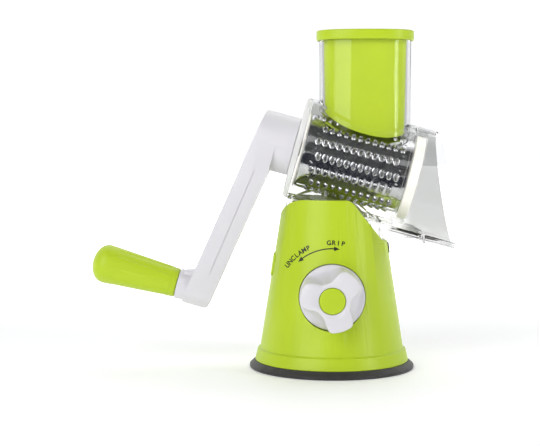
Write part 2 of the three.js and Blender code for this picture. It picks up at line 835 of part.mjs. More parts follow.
const grater = new THREE.Group();
const drumFrame = new THREE.Group();
drumFrame.position.set(DRUM.end.x, 0, DRUM.end.z);
drumFrame.rotation.y = TURN;
const gripFrame = new THREE.Group();
gripFrame.position.x = ELBOW.throw;
drumFrame.add(gripFrame);
grater.add(drumFrame);

function place(parent, name, shape, material, x = 0, y = 0, z = 0) {
  const geometry = geometryOf(shape.isBufferGeometry ? solid(shape) : shape);
  const mesh = new THREE.Mesh(geometry, material);
  mesh.name = name;
  mesh.position.set(x, y, z);
  parent.add(mesh);
}

place(grater, "base_shell", baseShell(), MATERIAL.green);
place(grater, "suction_pad", suctionPad(), MATERIAL.rubber);
place(grater, "base_plate", basePlate(), MATERIAL.nylon);
screwPlaces.forEach(({ x, y }, i) =>
  place(grater, `plate_screw_${i + 1}`, plateScrew(), MATERIAL.steel, x, y),
);
place(grater, "cam_bracket", camBracket(), MATERIAL.steel);
[-1, 1].forEach((side, i) =>
  place(grater, `bracket_screw_${i + 1}`, bracketScrew(), MATERIAL.steel, side * BRACKET.screwX),
);
place(grater, "cam_shaft", camShaft(), MATERIAL.steel);
place(grater, "pull_stem", pullStem(), MATERIAL.nylon);
place(grater, "stem_pin", stemPin(), MATERIAL.steel);
place(grater, "pull_plate", pullPlate(), MATERIAL.steel);
place(grater, "lift_spring", liftSpring(), MATERIAL.steel);

place(grater, "knob", knob(), MATERIAL.white, 0, 0, KNOB.height);
place(grater, "knob_cap", knobCap(), MATERIAL.green, 0, 0, KNOB.height);
place(grater, "knob_screw", knobScrew(), MATERIAL.steel, 0, 0, KNOB.height);
place(grater, "release_button", releaseButton(), MATERIAL.green);
place(grater, "button_spring", buttonSpring(), MATERIAL.steel);

place(grater, "clear_housing", clearHousing(), MATERIAL.clear);
place(grater, "housing_chute", housingChute(), MATERIAL.clear);
place(grater, "housing_neck", housingNeck(), MATERIAL.clear);
place(grater, "pusher", pusher(), MATERIAL.green);
place(drumFrame, "housing_back_plate", housingBackPlate(), MATERIAL.clear);
place(drumFrame, "shaft_bush", shaftBush(), MATERIAL.nylon);

place(drumFrame, "drum_shell", drumShell(), MATERIAL.steel);
place(drumFrame, "drum_back_disc", drumBackDisc(), MATERIAL.cream);
place(drumFrame, "drum_front_ring", drumFrontRing(), MATERIAL.cream);
place(drumFrame, "drive_shaft", driveShaft(), MATERIAL.steel);
place(drumFrame, "shaft_screw", shaftScrew(), MATERIAL.steel);
place(drumFrame, "crank_hub_cap", crankHubCap(), MATERIAL.white);
place(drumFrame, "crank_arm", crankArm(), MATERIAL.white);
place(gripFrame, "grip_axle", gripAxle(), MATERIAL.steel);
place(gripFrame, "grip", grip(), MATERIAL.green);

export default grater;
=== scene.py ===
import json
import math

import bmesh
import bpy
from mathutils import Matrix, Vector


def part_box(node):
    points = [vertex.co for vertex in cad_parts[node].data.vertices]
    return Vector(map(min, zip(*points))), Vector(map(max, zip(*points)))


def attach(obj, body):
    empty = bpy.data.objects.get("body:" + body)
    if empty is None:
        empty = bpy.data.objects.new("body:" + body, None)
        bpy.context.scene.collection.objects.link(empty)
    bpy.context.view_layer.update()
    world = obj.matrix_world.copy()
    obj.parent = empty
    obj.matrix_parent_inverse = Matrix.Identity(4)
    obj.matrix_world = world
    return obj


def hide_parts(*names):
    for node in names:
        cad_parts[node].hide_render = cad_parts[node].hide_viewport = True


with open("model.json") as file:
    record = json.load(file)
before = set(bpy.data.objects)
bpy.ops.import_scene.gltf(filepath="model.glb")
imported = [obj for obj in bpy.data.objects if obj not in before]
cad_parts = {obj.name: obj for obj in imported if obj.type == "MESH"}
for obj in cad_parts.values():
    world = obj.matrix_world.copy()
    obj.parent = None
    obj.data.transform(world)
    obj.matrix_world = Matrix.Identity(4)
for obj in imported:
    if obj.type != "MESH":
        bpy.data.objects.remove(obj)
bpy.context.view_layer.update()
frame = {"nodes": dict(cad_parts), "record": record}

# Looks of a rotary cheese grater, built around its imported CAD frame. Lengths are in millimetres in
# the shape code, and in metres in materials, lights and camera.
MM = 0.001
JOINTS = {joint["name"]: joint for joint in frame["record"]["behaviour"]["joints"]}
WORLD = Matrix.Scale(MM, 4)


def drum_matrix(joint_name):
    """The frame of a joint on the drum's axis: x away from it and down, z along it, in millimetres."""
    along = Vector(JOINTS[joint_name]["axis"]).normalized()
    across = Vector((0, 1, 0))
    down = across.cross(along)
    turn = Matrix((down, across, along)).transposed().to_4x4()
    return Matrix.Translation(JOINTS[joint_name]["pos_m"]) @ turn @ WORLD


DRUM = drum_matrix("crank_turn")
GRIP = drum_matrix("grip_spin")


def corners(node):
    """A node's lowest and highest corner in millimetres."""
    low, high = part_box(node)
    return Vector(low) / MM, Vector(high) / MM


def turned(node, matrix):
    """A node's reach along a turned frame's z and its largest radius about it: (from, to, radius)."""
    inverse = matrix.inverted()
    points = [inverse @ vertex.co for vertex in frame["nodes"][node].data.vertices]
    radius = max(math.hypot(point.x, point.y) for point in points)
    return min(p.z for p in points), max(p.z for p in points), radius


# ---- Mesh helpers ----


def make(name, vertices, faces, matrix=WORLD):
    mesh = bpy.data.meshes.new(name)
    mesh.from_pydata([matrix @ Vector(v) for v in vertices], [], faces)
    made = bmesh.new()
    made.from_mesh(mesh)
    bmesh.ops.remove_doubles(made, verts=made.verts, dist=0.000002)
    bmesh.ops.recalc_face_normals(made, faces=made.faces)
    made.to_mesh(mesh)
    made.free()
    piece = bpy.data.objects.new(name, mesh)
    bpy.context.scene.collection.objects.link(piece)
    return piece


def rounded(points, radii, steps=6, closed=True):
    """A 2D outline with the corners named in radii (index to radius) turned into arcs."""
    outline = []
    count = len(points)
    for i, point in enumerate(points):
        corner = Vector(point)
        if not radii.get(i) or (not closed and i in (0, count - 1)):
            outline.append(tuple(corner))
            continue
        before = (Vector(points[i - 1]) - corner).normalized()
        after = (Vector(points[(i + 1) % count]) - corner).normalized()
        half = before.angle(after) / 2
        reach = radii[i] / math.tan(half)
        centre = corner + (before + after).normalized() * radii[i] / math.sin(half)
        start = corner + before * reach - centre
        end = corner + after * reach - centre
        sweep = start.angle(end)
        for step in range(steps + 1):
            share = step / steps
            weight = math.sin(sweep)
            arm = start * math.sin((1 - share) * sweep) / weight + end * math.sin(share * sweep) / weight
            outline.append(tuple(centre + arm))
    return outline


def lathe(name, profile, matrix=WORLD, segments=160):
    """Revolves (radius, z) pairs about z. A profile off the axis closes on itself."""
    vertices = []
    faces = []
    count = len(profile)
    for i in range(segments):
        angle = 2 * math.pi * i / segments
        vertices += [(r * math.cos(angle), r * math.sin(angle), z) for r, z in profile]
    on_axis = profile[0][0] < 1e-6
    for i in range(segments):
        a, b = i * count, (i + 1) % segments * count
        for j in range(count - 1 if on_axis else count):
            k = (j + 1) % count
            faces.append((a + j, a + k, b + k, b + j))
    return make(name, vertices, faces, matrix)


def rod_profile(outer, start, end, inner=0):
    """The profile of a rod, or of a tube round an inner radius."""
    return [(inner, start), (outer, start), (outer, end), (inner, end)]


def prism(name, outline, low, high, place):
    """Extrudes a 2D outline; place turns (u, v, height) into x, y, z."""
    count = len(outline)
    vertices = [place(u, v, low) for u, v in outline] + [place(u, v, high) for u, v in outline]
    faces = [tuple(range(count)), tuple(range(count, 2 * count))]
    faces += [(i, (i + 1) % count, count + (i + 1) % count, count + i) for i in range(count)]
    return make(name, vertices, faces)


def block(name, xs, ys, zs, matrix=WORLD):
    """A box between two values on each axis."""
    faces = [(0, 1, 3, 2), (4, 6, 7, 5), (0, 4, 5, 1), (2, 3, 7, 6), (0, 2, 6, 4), (1, 5, 7, 3)]
    return make(name, [(x, y, z) for x in xs for y in ys for z in zs], faces, matrix)


def band(a, b, count):
    """The faces between two rings of count vertices, which start at a and b."""
    turns = [(i, (i + 1) % count) for i in range(count)]
    return [(a + i, a + j, b + j, b + i) for i, j in turns]


def upright(u, v, height):
    return (u, v, height)


def sideways(u, v, height):
    return (u, height, v)


def lengthways(u, v, height):
    return (height, u, v)


def apply_modifiers(piece):
    depsgraph = bpy.context.evaluated_depsgraph_get()
    finished = bpy.data.meshes.new_from_object(piece.evaluated_get(depsgraph))
    piece.modifiers.clear()
    piece.data = finished
    return piece


def combine(piece, other, operation):
    """Joins, cuts or crosses two solids with a boolean and throws the second one away."""
    step = piece.modifiers.new(operation, "BOOLEAN")
    step.object = other
    step.operation = operation
    step.solver = "MANIFOLD"
    apply_modifiers(piece)
    bpy.data.objects.remove(other)
    return piece


def cut(piece, *tools):
    for tool in tools:
        combine(piece, tool, "DIFFERENCE")
    return piece


def join(piece, *others):
    for other in others:
        combine(piece, other, "UNION")
    return piece


def soften(piece, width, angle=35, segments=2):
    """Rounds the edges sharper than angle."""
    step = piece.modifiers.new("edges", "BEVEL")
    step.width = width * MM
    step.segments = segments
    step.limit_method = "ANGLE"
    step.angle_limit = math.radians(angle)
    step.use_clamp_overlap = True
    return apply_modifiers(piece)


def finish(piece, material, body, *nodes, angle=40):
    """Shades a piece, gives it its material and body, and hides the CAD nodes it stands for."""
    piece.data.materials.clear()
    piece.data.materials.append(MATERIALS[material])
    piece.data.set_sharp_from_angle(angle=math.radians(angle))
    for polygon in piece.data.polygons:
        polygon.use_smooth = True
    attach(piece, body)
    if nodes:
        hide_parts(*nodes)
    return piece


# ---- Materials ----


def linear(colour):
    """An sRGB colour of 0 to 255 as linear values with alpha."""
    shares = [channel / 255 for channel in colour]
    return tuple(s / 12.92 if s <= 0.04045 else ((s + 0.055) / 1.055) ** 2.4 for s in shares) + (1.0,)


def blank_material(name):
    material = bpy.data.materials.new(name)
    material.use_nodes = True
    nodes = material.node_tree.nodes
    return material, nodes, material.node_tree.links, nodes["Principled BSDF"]


def dial(node, values):
    """Sets inputs of a node by name."""
    for name, value in values.items():
        node.inputs[name].default_value = value


def noise(nodes, links, scale, detail=3.0, stretch=None):
    """A noise texture in object space, in metres, optionally stretched."""
    where = nodes.new("ShaderNodeTexCoord")
    texture = nodes.new("ShaderNodeTexNoise")
    dial(texture, {"Scale": scale, "Detail": detail})
    if stretch:
        mapping = nodes.new("ShaderNodeMapping")
        mapping.inputs["Scale"].default_value = stretch
        links.new(where.outputs["Object"], mapping.inputs["Vector"])
        links.new(mapping.outputs["Vector"], texture.inputs["Vector"])
    else:
        links.new(where.outputs["Object"], texture.inputs["Vector"])
    return texture


NOISE_LOW, NOISE_HIGH = 0.3, 0.7


def uneven_gloss(nodes, links, texture, shader, low, high):
    """Roughness that drifts between low and high over the range most of the noise lies in."""
    span = nodes.new("ShaderNodeMapRange")
    dial(span, {"From Min": NOISE_LOW, "From Max": NOISE_HIGH, "To Min": low, "To Max": high})
    links.new(texture.outputs["Fac"], span.inputs["Value"])
    links.new(span.outputs["Result"], shader.inputs["Roughness"])


def bump(nodes, links, texture, shader, strength, distance=0.0002):
    step = nodes.new("ShaderNodeBump")
    dial(step, {"Strength": strength, "Distance": distance})
    links.new(texture.outputs["Fac"], step.inputs["Height"])
    links.new(step.outputs["Normal"], shader.inputs["Normal"])


def tint(nodes, links, texture, shader, colour, darker):
    """A slow drift between the colour and a slightly darker one."""
    mix = nodes.new("ShaderNodeMix")
    mix.data_type = "RGBA"
    dial(mix, {"A": linear(colour), "B": linear([channel * darker for channel in colour])})
    links.new(texture.outputs["Fac"], mix.inputs["Factor"])
    links.new(mix.outputs["Result"], shader.inputs["Base Color"])


def axes(nodes, links, output="Object"):
    """The x, y and z of a texture coordinate, in metres for Object."""
    place = nodes.new("ShaderNodeTexCoord")
    split = nodes.new("ShaderNodeSeparateXYZ")
    links.new(place.outputs[output], split.inputs["Vector"])
    return split.outputs


def ramp(nodes, links, value, start, end, low=0.0, high=1.0):
    """A smooth step from low to high as value goes from start to end."""
    step = nodes.new("ShaderNodeMapRange")
    step.interpolation_type = "SMOOTHSTEP"
    dial(step, {"From Min": start, "From Max": end, "To Min": low, "To Max": high})
    links.new(value, step.inputs["Value"])
    return step.outputs["Result"]


def calculate(nodes, links, operation, first, second):
    node = nodes.new("ShaderNodeMath")
    node.operation = operation
    links.new(first, node.inputs[0])
    links.new(second, node.inputs[1])
    return node.outputs["Value"]


def pass_through(material, output, open_tint, inverse=False):
    """Lets rays straight through where a Light Path output is 1, or where it is 0 for inverse."""
    nodes, links = material.node_tree.nodes, material.node_tree.links
    shader = nodes["Principled BSDF"]
    clear = nodes.new("ShaderNodeBsdfTransparent")
    clear.inputs["Color"].default_value = open_tint
    path = nodes.new("ShaderNodeLightPath")
    choose = nodes.new("ShaderNodeMixShader")
    at_zero, at_one = (clear, shader) if inverse else (shader, clear)
    links.new(path.outputs[output], choose.inputs["Fac"])
    links.new(at_zero.outputs["BSDF"], choose.inputs[1])
    links.new(at_one.outputs["BSDF"], choose.inputs[2])
    links.new(choose.outputs["Shader"], nodes["Material Output"].inputs["Surface"])


PLASTIC_IOR = 1.5
ROUGH_SPREAD = 0.05


def moulded(name, colour, rough, grain=0.12, darker=0.95, coat=0.0, gloss=0.5):
    """Injection-moulded plastic: slow colour drift, uneven gloss and a fine moulding grain."""
    material, nodes, links, shader = blank_material(name)
    tint(nodes, links, noise(nodes, links, 14.0), shader, colour, darker)
    low, high = rough - ROUGH_SPREAD, rough + ROUGH_SPREAD
    uneven_gloss(nodes, links, noise(nodes, links, 45.0), shader, low, high)
    bump(nodes, links, noise(nodes, links, 2600.0, 2.0), shader, grain, 0.00003)
    dial(shader, {"IOR": PLASTIC_IOR, "Specular IOR Level": gloss})
    dial(shader, {"Coat Weight": coat, "Coat Roughness": 0.12})
    return material


# Where the clear moulding is painted grey as painted shade: its rear half, in the hood and above the
# neck. Metres.
REAR_SPAN = (-0.012, 0.012)
HOOD_SPAN = (0.045, 0.06)
UPPER_SPAN = (0.115, 0.14)
CLEAR_TONE = (253, 253, 252)
PAINTED_SHADE_TONE = (182, 183, 182)
CLEAR_IOR = 1.06
LAMP_TINT = (0.9, 0.9, 0.9, 1.0)


def clear_plastic(name, clearness):
    """Clear moulding, painted grey on its rear half in the hood and above the neck as painted shade,
    with faint flow marks; lamps shine through it.
    """
    material, nodes, links, shader = blank_material(name)
    place = axes(nodes, links)
    rear = ramp(nodes, links, place["Y"], *REAR_SPAN)
    hood = ramp(nodes, links, place["X"], *HOOD_SPAN)
    upper = ramp(nodes, links, place["Z"], *UPPER_SPAN)
    above_neck = calculate(nodes, links, "MAXIMUM", hood, upper)
    shade_share = calculate(nodes, links, "MULTIPLY", rear, above_neck)
    # Painted shade: the rear half turns grey in the hood and above the neck.
    shade_mix = nodes.new("ShaderNodeMix")
    shade_mix.data_type = "RGBA"
    dial(shade_mix, {"A": linear(CLEAR_TONE), "B": linear(PAINTED_SHADE_TONE)})
    links.new(shade_share, shade_mix.inputs["Factor"])
    links.new(shade_mix.outputs["Result"], shader.inputs["Base Color"])
    dial(shader, {"Transmission Weight": clearness, "IOR": CLEAR_IOR})
    dial(shader, {"Coat Weight": 0.3, "Coat Roughness": 0.03})
    scratches = noise(nodes, links, 60.0, 6.0, (1.0, 1.0, 14.0))
    uneven_gloss(nodes, links, scratches, shader, 0.015, 0.05)
    bump(nodes, links, noise(nodes, links, 28.0, 2.0), shader, 0.08, 0.0006)
    pass_through(material, "Is Shadow Ray", LAMP_TINT)
    return material


def stainless(name, tone, rough, along, strength=0.12):
    """Rolled steel sheet with fine brushing lines along one direction."""
    material, nodes, links, shader = blank_material(name)
    lines = noise(nodes, links, 240.0, 4.0, along)
    tint(nodes, links, lines, shader, tone, 0.86)
    shader.inputs["Metallic"].default_value = 1.0
    uneven_gloss(nodes, links, lines, shader, rough - 0.05, rough + 0.08)
    bump(nodes, links, lines, shader, strength, 0.00004)
    return material


def foot_rubber(name):
    """Matt black rubber with a fine grain and pale dust worn into it."""
    material, nodes, links, shader = blank_material(name)
    tint(nodes, links, noise(nodes, links, 60.0), shader, (44, 42, 42), 0.62)
    uneven_gloss(nodes, links, noise(nodes, links, 180.0), shader, 0.5, 0.68)
    bump(nodes, links, noise(nodes, links, 1500.0, 2.0), shader, 0.3, 0.00005)
    dial(shader, {"Sheen Weight": 0.15, "Sheen Roughness": 0.5})
    return material


def print_ink(name):
    """Dark pad-printed ink, thinner in places."""
    material, nodes, links, shader = blank_material(name)
    tint(nodes, links, noise(nodes, links, 900.0), shader, (40, 44, 18), 0.55)
    uneven_gloss(nodes, links, noise(nodes, links, 500.0), shader, 0.4, 0.6)
    bump(nodes, links, noise(nodes, links, 3000.0, 2.0), shader, 0.15, 0.00002)
    return material


FLOOR_GLOW = 0.12
BACK_GLOW = 0.9
GLOW_SPAN = (0.12, 0.9)
WHITE_LIGHT = (1.0, 1.0, 1.0, 1.0)


def pale_floor(name):
    """A white sheet, lit from below where it runs back to the white backdrop."""
    material, nodes, links, shader = blank_material(name)
    tint(nodes, links, noise(nodes, links, 1.5), shader, (250, 250, 250), 0.99)
    dial(shader, {"Roughness": 0.55, "Specular IOR Level": 0.2})
    glow = ramp(nodes, links, axes(nodes, links)["Y"], *GLOW_SPAN, FLOOR_GLOW, BACK_GLOW)
    links.new(glow, shader.inputs["Emission Strength"])
    shader.inputs["Emission Color"].default_value = WHITE_LIGHT
    return material


def black_card(name):
    """Dull black card of the studio, there only for light that has met a shiny surface."""
    material, nodes, links, shader = blank_material(name)
    tint(nodes, links, noise(nodes, links, 3.0), shader, (46, 48, 56), 0.9)
    dial(shader, {"Roughness": 0.9, "Specular IOR Level": 0.0})
    pass_through(material, "Glossy Depth", WHITE_LIGHT, inverse=True)
    return material


GREEN = (181, 206, 40)
WHITE = (216, 214, 219)
CREAM = (246, 243, 237)

MATERIALS = {
    "green": moulded("lime moulding", GREEN, 0.38, gloss=0.32),
    # The pusher's cup: a darker copy of the lime moulding, painted shade for the cup inside the clear
    # chute.
    "pusher": moulded("shaded lime pusher moulding", (168, 190, 36), 0.6, gloss=0.32),
    "white": moulded("white moulding", WHITE, 0.34, darker=0.97, coat=0.1),
    "cream": moulded("off-white moulding", CREAM, 0.4, darker=0.96),
    "nylon": moulded("grey nylon", (196, 196, 190), 0.5, grain=0.3, darker=0.9),
    "clear": clear_plastic("clear moulding", 1.0),
    "milky": clear_plastic("milky clear moulding", 0.4),
    "drum": stainless("drum steel", (222, 223, 226), 0.12, (1.0, 1.0, 1.0), 0.02),
    "steel": stainless("plated steel", (186, 188, 192), 0.3, (1.0, 1.0, 12.0)),
    "rubber": foot_rubber("foot rubber"),
    "ink": print_ink("printed ink"),
    "floor": pale_floor("pale floor"),
    "flag": black_card("black card"),
}

# ---- Base ----

BASE_LOW, BASE_HIGH = corners("base_shell")
FOOT_HIGH = corners("suction_pad")[1]
KNOB_LOW, KNOB_HIGH = corners("knob")
KNOB_CENTRE = JOINTS["knob_turn"]["pos_m"][2] / MM
SHELL_WALL = 2.0
BAND_TOP = 13.7
BAND_RADIUS = 53.0
BAND_LEDGE = 0.1
CONE_FOOT = 14.5
CONE_RADIUS = 51.3
CONE_SLOPE = 0.154
DECK_BOTTOM = 87.0
DECK_TOP = 90.3
SHIELD_LEFT = 108.0
SHIELD_RIGHT = 91.0
PAST_CONE = 75.0
# The shields' outline from left to right: x where each curve starts, bends and ends.
LEFT_SHOULDER = (-38.0, -32.5, -18.5)
CREST_END, CREST_BEND, SLANT_TOP = 9.5, 13.2, (16.5, 116.6)
SLANT_FOOT, FOOT_BEND, FOOT_END = (33.0, 95.5), 36.0, 40.0
KNOB_GAP = 0.6
KNOB_SHAFT_ROOM = 5.1
BUTTON_PROUD = 0.9
PAD_EDGE = (52.2, 3.4)
PAD_SEAT = 53.4
PAD_RIM = 2.2
PAD_GAP = 0.6


def cone_radius(z):
    return CONE_RADIUS - CONE_SLOPE * (z - CONE_FOOT)


def curve_points(start, control, end, steps=10):
    """Points of a quadratic curve, without its start."""
    points = []
    for step in range(1, steps + 1):
        t = step / steps
        shares = ((1 - t) ** 2, 2 * t * (1 - t), t * t)
        pairs = zip(start, control, end)
        points.append(tuple(sum(s * v for s, v in zip(shares, pair)) for pair in pairs))
    return points


def above_shields():
    """The block that cuts the cone down to its two shields."""
    top = BASE_HIGH.z
    start, bend, end = LEFT_SHOULDER
    outline = [(-PAST_CONE, SHIELD_LEFT), (start, SHIELD_LEFT)]
    outline += curve_points((start, SHIELD_LEFT), (bend, top), (end, top), 16)
    outline += [(CREST_END, top)]
    outline += curve_points((CREST_END, top), (CREST_BEND, top), SLANT_TOP, 12)
    outline += [SLANT_FOOT]
    outline += curve_points(SLANT_FOOT, (FOOT_BEND, SHIELD_RIGHT), (FOOT_END, SHIELD_RIGHT), 8)
    outline += [(PAST_CONE, SHIELD_RIGHT), (PAST_CONE, 2 * PAST_CONE), (-PAST_CONE, 2 * PAST_CONE)]
    return prism("shield cut", outline, -80, 80, sideways)


FORWARD = Matrix.Rotation(-math.pi / 2, 4, "X")
KNOB_TURN = Matrix.Translation((0, 0, KNOB_CENTRE * MM)) @ FORWARD @ WORLD


def along_y(radius, start, end):
    """A cylinder lying along y, on the knob's axis."""
    return lathe("cylinder", rod_profile(radius, start, end), KNOB_TURN, 128)


def rounded_rectangle(u, v, width, height, radius, steps=8):
    w, h = width / 2, height / 2
    points = [(u - w, v - h), (u + w, v - h), (u + w, v + h), (u - w, v + h)]
    return rounded(points, {i: radius for i in range(4)}, steps)


def cone_outside(extra=0.0):
    """The solid inside the shell's outer face, grown by extra."""
    low = BASE_LOW.z
    profile = [
        (0, low),
        (BASE_HIGH.x + extra, low),
        (BAND_RADIUS + extra, BAND_TOP),
        (CONE_RADIUS + extra, CONE_FOOT),
        (cone_radius(BASE_HIGH.z) + extra, BASE_HIGH.z),
        (0, BASE_HIGH.z),
    ]
    return lathe("cone", profile, segments=192)


def base_shell():
    """The cone with its deck, its two shields, the knob's well and the hole for the button."""
    low, top = BASE_LOW.z, BASE_HIGH.z
    foot = BASE_HIGH.x
    profile = [
        (0, DECK_BOTTOM),
        (cone_radius(DECK_BOTTOM) - SHELL_WALL, DECK_BOTTOM),
        (CONE_RADIUS - SHELL_WALL, CONE_FOOT),
        (BAND_RADIUS - SHELL_WALL, BAND_TOP),
        (foot - SHELL_WALL, low),
        (foot, low),
        (BAND_RADIUS + BAND_LEDGE, BAND_TOP),
        (CONE_RADIUS, CONE_FOOT),
        (cone_radius(top), top),
        (cone_radius(top) - SHELL_WALL, top),
        (cone_radius(DECK_TOP) - SHELL_WALL, DECK_TOP),
        (0, DECK_TOP),
    ]
    profile = rounded(profile, {5: 0.5, 6: 0.5, 7: 0.5}, 5, closed=False)
    shell = lathe("shell_visual", profile, segments=192)
    floor = KNOB_HIGH.y + KNOB_GAP
    outer = KNOB_HIGH.x + KNOB_GAP
    well = along_y(outer + SHELL_WALL, floor + SHELL_WALL, -49)
    join(shell, combine(well, cone_outside(), "INTERSECT"))
    button_low, button_high = corners("release_button")
    height = button_high.z - button_low.z
    middle = (button_high.z + button_low.z) / 2
    edge = rounded_rectangle(0, middle, button_high.y - button_low.y + 1, height + 1, 3.5)
    hole = prism("button hole", edge, -60, -34, lengthways)
    cut(shell, above_shields(), along_y(outer, floor, -80), along_y(KNOB_SHAFT_ROOM, -80, -20), hole)
    soften(shell, 0.55, 50, 3)
    return finish(shell, "green", "base", "base_shell", angle=50)


def suction_foot():
    """The rubber pad: a flat disc with a rim that closes round the foot of the cone."""
    reach = FOOT_HIGH.x
    seat = BASE_HIGH.x + PAD_GAP
    profile = [
        (0, 0),
        (reach - 1.6, 0),
        (reach, 0.2),
        (reach, PAD_RIM),
        (seat, FOOT_HIGH.z),
        (PAD_SEAT, FOOT_HIGH.z),
        PAD_EDGE,
        (0, PAD_EDGE[1]),
    ]
    profile = rounded(profile, {1: 0.5, 2: 0.7, 3: 0.9, 4: 0.8, 5: 0.3}, 5, closed=False)
    return finish(lathe("foot_visual", profile, segments=192), "rubber", "base", "suction_pad")


def release_button():
    low, high = corners("release_button")
    outline = rounded_rectangle(0, (low.z + high.z) / 2, high.y - low.y, high.z - low.z, 3)
    button = prism("button_visual", outline, -60, high.x, lengthways)
    combine(button, cone_outside(BUTTON_PROUD), "INTERSECT")
    soften(button, 0.5, 50, 3)
    return finish(button, "green", "button", "release_button")


# ---- Print on the cone ----

ARROW_RADIUS = 33.4
ARROW_FROM = math.radians(135)
ARROW_TO = math.radians(81)
ARROW_WIDTH = 0.8
HEAD_LENGTH = 4.0
HEAD_WIDTH = 3.2
ARROW_STEPS = 40
WORD_RADIUS = 36.0
LETTER_SIZE = 4.402
LETTER_ADVANCE = math.radians(5.0)
LETTER_WEIGHT = 0.14
INK_DEPTH = 0.08
LEFT_WORD = math.radians(131.5)
RIGHT_WORD = math.radians(86)


def on_cone(piece):
    """Presses a flat drawing in x, z onto the front of the cone; y is its height above it."""
    for vertex in piece.data.vertices:
        x, height, z = vertex.co / MM
        radius = cone_radius(z) + (INK_DEPTH if height > 0.5 else 0.01)
        vertex.co = Vector((x, -math.sqrt(radius * radius - x * x), z)) * MM
    return piece


def arc_point(radius, angle):
    return radius * math.cos(angle), KNOB_CENTRE + radius * math.sin(angle)


def double_arrow():
    """A curved arrow with a head at each end, as one outline."""
    head = HEAD_LENGTH / ARROW_RADIUS
    start, end = ARROW_FROM - head, ARROW_TO + head
    angles = [start + (end - start) * i / ARROW_STEPS for i in range(ARROW_STEPS + 1)]
    half = ARROW_WIDTH / 2
    outline = [arc_point(ARROW_RADIUS, ARROW_FROM), arc_point(ARROW_RADIUS + HEAD_WIDTH / 2, start)]
    outline += [arc_point(ARROW_RADIUS + half, angle) for angle in angles]
    outline += [arc_point(ARROW_RADIUS + HEAD_WIDTH / 2, end), arc_point(ARROW_RADIUS, ARROW_TO)]
    outline += [arc_point(ARROW_RADIUS - HEAD_WIDTH / 2, end)]
    outline += [arc_point(ARROW_RADIUS - half, angle) for angle in reversed(angles)]
    outline += [arc_point(ARROW_RADIUS - HEAD_WIDTH / 2, start)]
    arrow = prism("turn_arrow", outline, 0, 1, sideways)
    triangles = arrow.modifiers.new("triangles", "TRIANGULATE")
    triangles.ngon_method = "BEAUTY"
    apply_modifiers(arrow)
    return finish(on_cone(arrow), "ink", "base")


def printed_word(name, word, middle):
    """A word set letter by letter round the knob, centred on the angle middle."""
    letters = []
    for i, letter in enumerate(word):
        curve = bpy.data.curves.new(letter, "FONT")
        curve.body = letter
        curve.size = LETTER_SIZE
        curve.align_x = "CENTER"
        curve.extrude = 0.5
        curve.offset = LETTER_WEIGHT
        source = bpy.data.objects.new(letter, curve)
        bpy.context.scene.collection.objects.link(source)
        bpy.context.view_layer.update()
        mesh = bpy.data.meshes.new_from_object(source)
        bpy.data.objects.remove(source)
        angle = middle - (i - (len(word) - 1) / 2) * LETTER_ADVANCE
        x, z = arc_point(WORD_RADIUS, angle)
        turn = Matrix.Rotation(angle - math.pi / 2, 4, "Z")
        mesh.transform(Matrix.Translation((x, z, 0.5)) @ turn)
        letters.append(mesh)
    vertices = []
    faces = []
    for mesh in letters:
        offset = len(vertices)
        vertices += [(v.co.x, v.co.z, v.co.y) for v in mesh.vertices]
        faces += [tuple(offset + index for index in face.vertices) for face in mesh.polygons]
        bpy.data.meshes.remove(mesh)
    piece = make(name, vertices, faces)
    return finish(on_cone(piece), "ink", "base")


# ---- Knob ----

LOBE_MIDDLE = math.radians(48)
SCOOP_STEPS = 240
LOBE_EDGE = -1.2
# Rings down the handle: share of its depth, and how far the outline grows there.
LOBE_LEVELS = [(0.02, -0.45), (0.06, -0.1), (0.14, 0.0), (0.35, 0.0)]
LOBE_LEVELS += [(0.6, 0.0), (0.8, 0.3), (0.93, 1.1), (1.0, 2.4)]
KNOB_FACE = -45.0
CAP_SEAT = 3.1
KNOB_BORE = 4.8


def lobe_radius(angle, depth):
    """The handle's outline at a depth of 0 (front) to 1 (disc): the scoops run out towards the disc."""
    wave = 0.5 + 0.5 * math.cos(3 * (angle - LOBE_MIDDLE))
    full = KNOB_HIGH.x - 0.7
    waist = 12.6 + 4.6 * depth * depth
    flat = min(1.0, 1.25 * wave ** 1.1)
    return waist + (full - waist) * flat * flat * (3 - 2 * flat)


def knob():
    """The turning knob: a three-lobed handle that runs out into a disc, with a seat for its cap."""
    front, back = KNOB_LOW.y, KNOB_HIGH.y
    cap = corners("knob_cap")[1].x + 0.3
    vertices = []
    rows = []

    def ring(radius_of, y):
        rows.append(len(vertices))
        for i in range(SCOOP_STEPS):
            angle = 2 * math.pi * i / SCOOP_STEPS
            radius = radius_of(angle)
            vertices.append((radius * math.cos(angle), y, KNOB_CENTRE + radius * math.sin(angle)))

    depth = KNOB_FACE - front
    ring(lambda angle: cap, front + CAP_SEAT)
    ring(lambda angle: cap, front + 0.3)
    ring(lambda angle: cap + 0.3, front)
    ring(lambda angle: lobe_radius(angle, 0) + LOBE_EDGE, front)
    rim = KNOB_HIGH.x - 0.5
    for share, grow in LOBE_LEVELS:
        height = front + share * depth
        ring(lambda angle, s=share, g=grow: min(lobe_radius(angle, s) + g, rim), height)
    ring(lambda angle: KNOB_HIGH.x - 0.4, KNOB_FACE + 0.02)
    ring(lambda angle: KNOB_HIGH.x, KNOB_FACE + 0.5)
    ring(lambda angle: KNOB_HIGH.x, back)
    ring(lambda angle: KNOB_BORE, back)
    ring(lambda angle: KNOB_BORE, front + CAP_SEAT)
    faces = []
    for a, b in zip(rows, rows[1:] + rows[:1]):
        faces += band(a, b, SCOOP_STEPS)
    return finish(make("knob_visual", vertices, faces), "white", "knob", "knob", angle=50)


def knob_cap():
    low, high = corners("knob_cap")
    radius = high.x
    profile = [(0, high.y), (radius, high.y), (radius, low.y + 0.1), (radius * 0.6, low.y), (0, low.y)]
    profile = rounded(profile, {2: 0.9, 3: 4.0}, 6, closed=False)
    return finish(lathe("cap_visual", profile, KNOB_TURN, 96), "green", "knob", "knob_cap")


# ---- Housing and pusher ----

